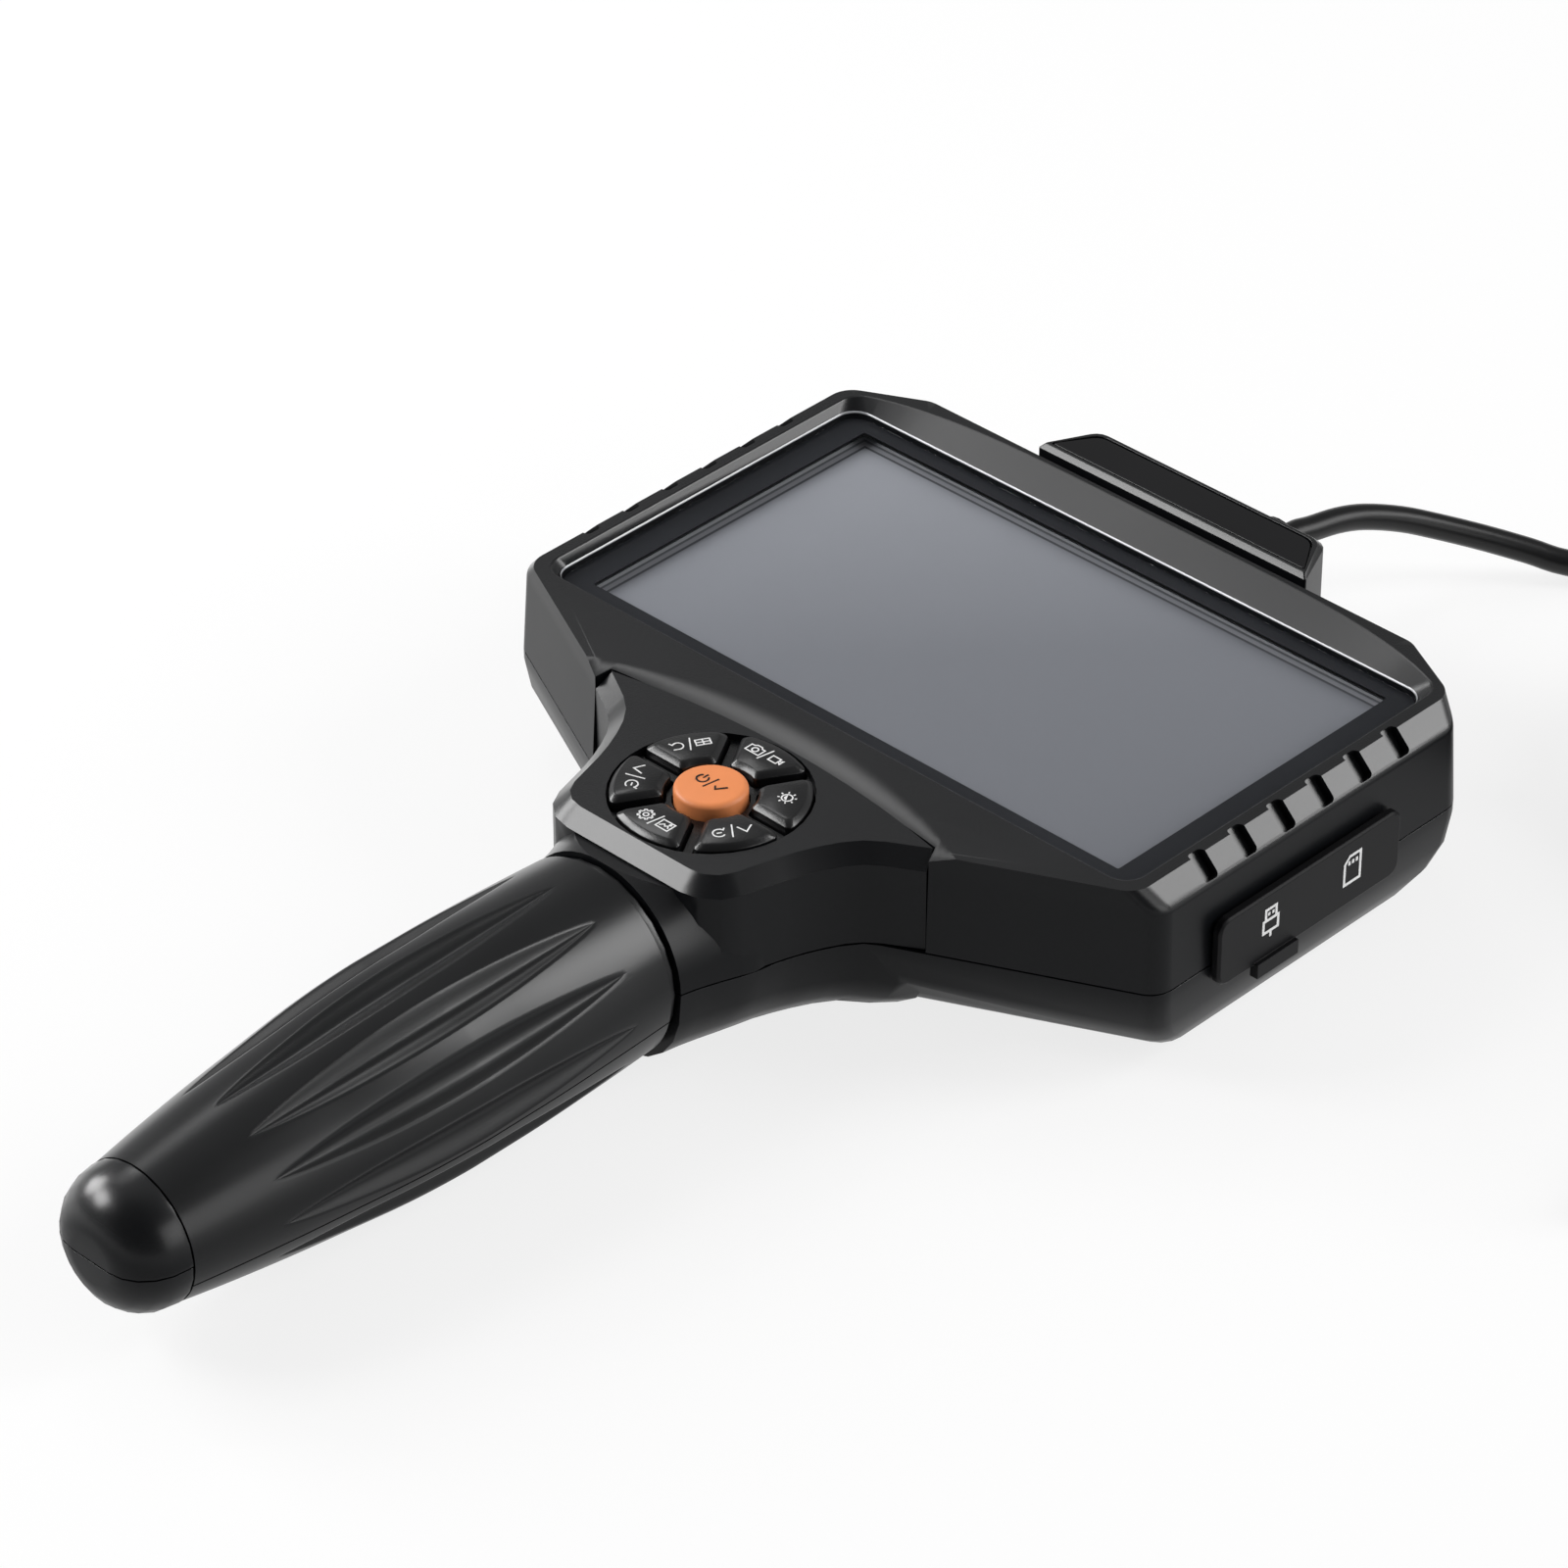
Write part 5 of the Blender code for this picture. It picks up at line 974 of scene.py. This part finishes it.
def grip_half(start, given):
    """A sheet bent round the grip's axis, whose columns gather along the borders of the leaf-shaped hollows."""
    half_pitches = given["Half pitches"]
    sheet = start.node(
        "GeometryNodeMeshGrid",
        {},
        {"Size X": 1.0, "Size Y": 1.0, "Vertices X": half_pitches * 48.0 + 1.0, "Vertices Y": 191},
    )
    spot = start.node("GeometryNodeInputPosition").part("X")
    pitches = spot * 2.0 * half_pitches
    share = spot.out("Y") + 0.5
    curve = start.node("ShaderNodeFloatCurve", {}, {"Value": share})
    mapping = curve.output.node.mapping
    ends = mapping.curves[0].points
    ends[0].location = (0.0, GRIP_SHAPE[0][1] / GRIP_WIDEST)
    ends[1].location = (1.0, GRIP_SHAPE[-1][1] / GRIP_WIDEST)
    for place, radius in GRIP_SHAPE[1:-1]:
        mapping.curves[0].points.new(place, radius / GRIP_WIDEST)
    mapping.update()
    radius = curve * GRIP_WIDEST
    along = share * GRIP_LENGTH + GRIP_START
    flute_run = given["Flute end"] - given["Flute start"]
    run = (along - given["Flute start"]) / flute_run
    swell = start.math("SINE", start.math("MINIMUM", 1.0, start.math("MAXIMUM", 0.0, run)) * pi)
    past_tip = start.math("MAXIMUM", 0.0, start.math("MAXIMUM", run * -1.0, run - 1.0)) * flute_run
    fan = start.math("MINIMUM", 1.0, past_tip / FLUTE_FAN) * (FLUTE_TURN * FLUTE_COLUMNS)
    border = start.math("MAXIMUM", given["Flute width"] / 2.0 / radius * swell**0.75, fan)
    side = start.math("SIGN", pitches)
    count = start.math("ABSOLUTE", pitches)
    nearest = start.math("MINIMUM", start.math("ROUND", count), half_pitches - 0.5)
    away = count - nearest
    aside = start.math("ABSOLUTE", away)
    inside = start.math("MINIMUM", 1.0, aside / FLUTE_COLUMNS)
    land = start.math("MAXIMUM", 0.0, (aside - FLUTE_COLUMNS) / (0.5 - FLUTE_COLUMNS))
    reach = pi / 2 + start.math("ARCSINE", given["Seam rise"] / radius)
    at_seam = start.math("GREATER_THAN", count, half_pitches - 0.4999)
    last = reach - (half_pitches - 0.5) * FLUTE_TURN
    land_end = 0.5 * FLUTE_TURN + (last - 0.5 * FLUTE_TURN) * at_seam
    warped = border * inside + (land_end - border) * land
    angle = side * (nearest * FLUTE_TURN + start.math("SIGN", away) * warped)
    outer = radius - given["Flute depth"] * swell**0.8 * (1.0 - inside * inside) ** 1.4
    turned = angle + given["Middle turn"]
    place = start.vector(
        X=outer * start.math("SINE", turned),
        Y=along * -1.0,
        Z=outer * start.math("COSINE", turned) + GRIP_AXIS,
    )
    return start.node("GeometryNodeSetPosition", {}, {"Geometry": sheet, "Position": place})


grip_rubber = moulded(
    "satin_grip_rubber",
    (0.0046, 0.0050, 0.0058),
    roughness=0.34,
    specular=0.16,
    grain=0.00022,
    relief=0.06,
    polish=0.7,
)
for half, seam_rise, middle, half_pitches in (("front", 0.00385, 0.0, 3.5), ("back", -0.00415, pi, 2.5)):
    sizes = {
        "Finish": grip_rubber,
        "Seam rise": seam_rise,
        "Middle turn": middle,
        "Half pitches": half_pitches,
        "Flute start": 0.0945,
        "Flute end": 0.1615,
        "Flute width": 0.0064,
        "Flute depth": 0.0018,
    }
    body = bmesh.new()
    body.from_mesh(grown(f"grip_{half}_sheet", sizes, grip_half))
    bmesh.ops.recalc_face_normals(body, faces=body.faces)
    body.faces.ensure_lookup_table()
    spot = body.faces[0].calc_center_median()
    if body.faces[0].normal.dot(spot - Vector((0.0, spot.y, GRIP_AXIS))) < 0:
        bmesh.ops.reverse_faces(body, faces=body.faces)
    wall = mesh_of(f"grip_{half}_sheet", body, turn_outwards=False)
    wall = smoothed(baked(f"grip_{half}_wall", wall, "SOLIDIFY", thickness=GRIP_WALL, offset=-1.0), 50)
    wall = eased(f"grip_{half}_half", wall, GRIP_EDGE, 50, segments=2, harden_normals=True)
    fit(f"grip_{half}_half", wall, grip_rubber, [f"grip_{half}"])
dress("collar_ring_skin", "collar_ring", grip_rubber, 0.0006)


# Screws: seven cross-head screws from the back, sunk in the rear moulding's columns.
# They are zinc-plated steel, with a low rounded head and a cut cross.
HEAD_HEIGHT = 0.0016


def cross_screws(start, given):
    """A head with a cross cut into it, and a shank that ends at one height, on each point."""
    height = given["Head height"]
    head = start.node(
        "GeometryNodeMeshCone",
        {},
        {
            "Vertices": 28,
            "Radius Top": given["Head radius"],
            "Radius Bottom": given["Head radius"] * 0.84,
            "Depth": height,
        },
    )
    long, wide = given["Cross reach"], given["Cross width"]
    bars = [
        start.node("GeometryNodeMeshCube", {}, {"Size": start.vector(X=x, Y=y, Z=height)})
        for x, y in ((long, wide), (wide, long))
    ]
    cross = bars[0].joined(bars[1])
    sunk = start.node(
        "GeometryNodeTransform", {}, {"Geometry": cross, "Translation": start.vector(Z=height * -0.2)}
    )
    cut = start.node("GeometryNodeMeshBoolean", {"operation": "DIFFERENCE"}, {"Mesh 1": head, "Mesh 2": sunk})
    heads = start.node("GeometryNodeInstanceOnPoints", {}, {"Points": given["Geometry"], "Instance": cut})
    shank = start.node(
        "GeometryNodeMeshCylinder", {}, {"Vertices": 16, "Radius": given["Shank radius"], "Depth": 1.0}
    )
    raised = start.node("GeometryNodeTransform", {}, {"Geometry": shank, "Translation": (0.0, 0.0, 0.5)})
    level = start.node("GeometryNodeInputPosition").part("Z")
    stretch = start.vector(X=1.0, Y=1.0, Z=given["Tip"] - level)
    shanks = start.node(
        "GeometryNodeInstanceOnPoints", {}, {"Points": given["Geometry"], "Instance": raised, "Scale": stretch}
    )
    return shanks.joined(heads)


zinc = metal("zinc_plated_steel", (0.55, 0.55, 0.56), 0.32, (1.0, 1.0, 0.2))
screws = [f"back_screw_{number}" for number in range(1, 8)]
places = []
for screw in screws:
    low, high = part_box(screw)
    places.append(((low.x + high.x) / 2, (low.y + high.y) / 2, low.z + HEAD_HEIGHT / 2))
sizes = {
    "Finish": zinc,
    "Head radius": 0.0024,
    "Head height": HEAD_HEIGHT,
    "Cross reach": 0.0030,
    "Cross width": 0.00055,
    "Shank radius": 0.0013,
    "Tip": high.z,
}
grown_screws = smoothed(grown("cross_head_screws", sizes, cross_screws, places), 30)
fit("cross_head_screws", grown_screws, zinc, screws)


# Probe cable: about three metres of black jacketed cable from the boot to the camera head.
# The length that isn't in use is wound into a coil of four layers beside the head, under two straps.
CABLE_DIAMETER = 0.0044
COIL_TURNS = 16.25
COIL_LAYERS = 4
COIL_INNER = 0.0182
COIL_PITCH = CABLE_DIAMETER + 0.00045
COIL_POINTS_PER_TURN = 36
COIL_LEAD = 0.0003
CAMERA_RADIUS = 0.0040
LEAD_ROUTE = (
    (0.0000, 0.0723, 0.0173), (0.0001, 0.0755, 0.0172), (0.0006, 0.0786, 0.0167), (0.0016, 0.0845, 0.0161),
    (0.0031, 0.0898, 0.0150), (0.0059, 0.0960, 0.0129), (0.0093, 0.1012, 0.0106), (0.0144, 0.1073, 0.0078),
    (0.0200, 0.1127, 0.0052), (0.0254, 0.1167, 0.0033), (0.0360, 0.1245, 0.0023), (0.0500, 0.1318, 0.0022),
    (0.0660, 0.1364, 0.0022), (0.0820, 0.1379, 0.0027), (0.0933, 0.1380, 0.0031),
)
TAIL_DROPS = ((0.0150, 0.06), (0.0300, 0.27), (0.0450, 0.60), (0.0600, 0.90), (0.0700, 1.0))


def smooth_route(points, per_span):
    """Points on a smooth curve through the given points."""
    knots = [Vector(point) for point in points]
    knots = [2 * knots[0] - knots[1], *knots, 2 * knots[-1] - knots[-2]]
    curve = []
    for a, b, c, d in zip(knots, knots[1:], knots[2:], knots[3:]):
        for step in range(per_span):
            t = step / per_span
            bend = 2 * a - 5 * b + 4 * c - d
            twist = 3 * b - a - 3 * c + d
            curve.append((2 * b + (c - a) * t + bend * t**2 + twist * t**3) / 2)
    return curve + [knots[-2]]


turns_per_layer = COIL_TURNS / COIL_LAYERS
coil_outer = COIL_INNER + COIL_PITCH * turns_per_layer
coil_low = LEAD_ROUTE[-1][2]
coil_start = Vector((LEAD_ROUTE[-1][0] + COIL_LEAD + CABLE_DIAMETER, LEAD_ROUTE[-1][1]))
coil_middle = coil_start - Vector((0.0, coil_outer))
route = smooth_route(LEAD_ROUTE, 4)
count = round(COIL_TURNS * COIL_POINTS_PER_TURN)
for number in range(count + 1):
    turns = COIL_TURNS * number / count
    layer, share = divmod(turns / turns_per_layer, 1.0)
    radius = coil_outer - (coil_outer - COIL_INNER) * (share if layer % 2 == 0 else 1 - share)
    nearest = round(turns / turns_per_layer)
    climb = 0.0 if nearest == 0 else COIL_LAYERS - 1
    if 0 < nearest < COIL_LAYERS:
        rise = min(1.0, max(0.0, (turns - nearest * turns_per_layer) * 2 + 0.5))
        climb = rise * rise * (3 - 2 * rise) + nearest - 1
    angle = pi / 2 - 2 * pi * turns
    route.append(Vector((
        coil_middle.x + radius * cos(angle),
        coil_middle.y + radius * sin(angle),
        coil_low + COIL_PITCH * climb,
    )))
end = route.pop()
fall = end.z - CAMERA_RADIUS
tail = [end] + [end + Vector((0.0, -run, -fall * share)) for run, share in TAIL_DROPS]
route += smooth_route(tail, 3)
route.append(route[-1] + Vector((0.0, -CABLE_DIAMETER, 0.0)))

jacket = moulded(
    "black_cable_jacket", (0.0075, 0.0075, 0.0080), roughness=0.36, specular=0.34, grain=0.0002, relief=0.04
)
line = bpy.data.curves.new("probe_cable", "CURVE")
line.dimensions = "3D"
line.bevel_depth = CABLE_DIAMETER / 2
line.bevel_resolution = 4
line.use_fill_caps = True
line.twist_mode = "Z_UP"
spline = line.splines.new("POLY")
spline.points.add(len(route) - 1)
for point, spot in zip(spline.points, route):
    point.co = (*spot, 1.0)
spline.use_smooth = True
line.materials.append(jacket)
cable = placed("probe_cable", line)
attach(cable, "housing")
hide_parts("probe_lead", "probe_coil")
cable_length = sum((b - a).length for a, b in zip(route, route[1:]))


# Camera head: a turned steel tube on a rubber ferrule, with a ring of white lamps round a small lens.
# It is the far end of the cable, and lies beside the coil.
LAMP_RING = 0.00235


def lamp_dots(start, given):
    """A small dome on each point."""
    dot = start.node(
        "GeometryNodeMeshUVSphere", {}, {"Segments": 16, "Rings": 8, "Radius": given["Dot radius"]}
    )
    return start.node("GeometryNodeInstanceOnPoints", {}, {"Points": given["Geometry"], "Instance": dot})


paint(metal("turned_steel", (0.62, 0.62, 0.63), 0.25, (1.0, 0.08, 1.0)), "camera_head")
ferrule = dress("ferrule_boot", "camera_ferrule", rubber)
webbing = moulded(
    "black_woven_strap", (0.0070, 0.0070, 0.0078), roughness=0.62, specular=0.2, grain=0.0005, relief=0.6
)
straps = [dress(f"coil_strap_{number}", f"coil_tie_{number}", webbing) for number in (1, 2)]
lamp_seat = moulded(
    "grey_lamp_seat", (0.16, 0.16, 0.17), roughness=0.4, specular=0.4, grain=0.0001, relief=0.1
)
paint(lamp_seat, "light_ring")
lamp = moulded(
    "white_lamp_diffuser", (0.80, 0.80, 0.74), roughness=0.2, specular=0.5, grain=0.0001, relief=0.05
)
low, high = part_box("light_ring")
middle = (low + high) / 2
turns = [radians(60 * number) for number in range(6)]
places = [(middle.x + LAMP_RING * cos(turn), low.y, middle.z + LAMP_RING * sin(turn)) for turn in turns]
dots = grown("lamp_chips", {"Finish": lamp, "Dot radius": 0.00028}, lamp_dots, places)
dots.shade_smooth()
lamp_chips = fit("lamp_chips", dots, lamp)
lens, lens_shader, place = new_finish("coated_lens", 0.03, 0.8)
bloom = place.noise(300.0).ramp((0.3, (0.01, 0.01, 0.03)), (0.7, (0.02, 0.01, 0.05)))
bloom.feed(lens_shader, "Base Color")
paint(lens, "camera_lens")


# Studio: a pale floor, a soft dome that is darker on the camera's side, and soft lamps on the other sides.
# The camera stands where the photograph was taken from.
WHITE_SHARE = 0.8
FLOOR_RADIUS = 8.0
FLOOR_DROP = 0.0001
DARK_SIDE = (0.567, -0.589, 0.576)
LAMPS = (
    ("far_right_lamp", (0.72, 0.73, 0.58), (0.0, 0.0, 0.0), (0.40, 0.86), 7.4),
    ("front_left_lamp", (-0.68, -0.69, 0.71), (0.0, 0.0, 0.0), (0.42, 0.42), 6.0),
    ("overhead_lamp", (-0.74, 0.10, 1.07), (0.0, 0.0, 0.0), (0.45, 0.45), 0.7),
    ("far_overhead_lamp", (-0.74, 0.40, 1.00), (0.0, 0.0, 0.0), (0.30, 0.30), 0.8),
    ("right_lamp", (1.15, 0.10, 0.40), (0.0, -0.08, 0.02), (0.60, 0.70), 2.4),
    ("left_lamp", (-1.15, -0.34, 0.62), (0.0, -0.15, 0.02), (0.55, 0.55), 9.0),
)
body = bmesh.new()
bmesh.ops.create_circle(body, cap_ends=True, segments=96, radius=FLOOR_RADIUS)
floor_mesh = mesh_of("studio_floor", body, turn_outwards=False)
paper, paper_shader, place = new_finish("pale_studio_floor", 0.9, 0.0)
pale = place.noise(3.0).ramp((0.0, (0.94, 0.94, 0.94)), (1.0, (0.96, 0.96, 0.96)))
pale.feed(paper_shader, "Base Color")
seen = place.node("ShaderNodeLightPath", output="Is Camera Ray")
mirrored = place.math("MAXIMUM", seen.out("Is Glossy Ray"), seen.out("Is Transmission Ray"))
share = place.math("MAXIMUM", seen, mirrored) * WHITE_SHARE
white = place.node("ShaderNodeEmission", {}, {"Color": (1.0, 1.0, 1.0, 1.0), "Strength": 1.0})
lit = Socket(paper.node_tree, paper_shader.outputs["BSDF"])
backed = place.node("ShaderNodeMixShader", {}, {0: share, 1: lit, 2: white})
backed.feed(paper.node_tree.nodes["Material Output"], "Surface")
floor_mesh.materials.append(paper)
floor = placed("studio_floor", floor_mesh)
floor.location.z = -FLOOR_DROP

dome = bpy.data.worlds.new("studio_dome")
dome.use_nodes = True
bpy.context.scene.world = dome
background = dome.node_tree.nodes["Background"]
facing = Socket(dome.node_tree).node("ShaderNodeTexCoord", output="Generated")
height = facing.math("MULTIPLY_ADD", facing.part("Z"), 0.5, 0.5)
sky = height.ramp(
    *[(stop, (grey, grey, grey)) for stop, grey in ((0.50, 0.36), (0.72, 0.28), (0.80, 0.19), (1.00, 0.42))]
)
ahead = facing.node("ShaderNodeVectorMath", {"operation": "DOT_PRODUCT"}, {0: facing, 1: DARK_SIDE}, "Value")
dim = facing.node(
    "ShaderNodeMapRange",
    {"interpolation_type": "SMOOTHSTEP"},
    {"Value": ahead, "From Min": 0.35, "From Max": 0.85, "To Min": 1.0, "To Max": 0.25},
)
shaded = facing.node(
    "ShaderNodeMix", {"data_type": "RGBA", "blend_type": "MULTIPLY"}, {0: 1.0, 6: sky, 7: dim}, 2
)
shaded.feed(background, "Color")
background.inputs["Strength"].default_value = 1.0

for name, place, target, size, power in LAMPS:
    light = bpy.data.lights.new(name, "AREA")
    light.shape = "RECTANGLE"
    light.size, light.size_y = size
    light.energy = power
    stand = placed(name, light)
    stand.location = place
    stand.rotation_euler = (Vector(target) - Vector(place)).to_track_quat("-Z", "Y").to_euler()

eye = bpy.data.cameras.new("photograph_camera")
eye.lens = 155.34
eye.sensor_width = 36.0
eye.clip_start = 0.05
eye.clip_end = 50.0
camera = placed("photograph_camera", eye)
camera.location = (0.5847, -0.6529, 0.6223)
camera.rotation_euler = (radians(54.83), 0.0, radians(43.9))
bpy.context.scene.camera = camera
bpy.context.scene.view_settings.view_transform = "Standard"
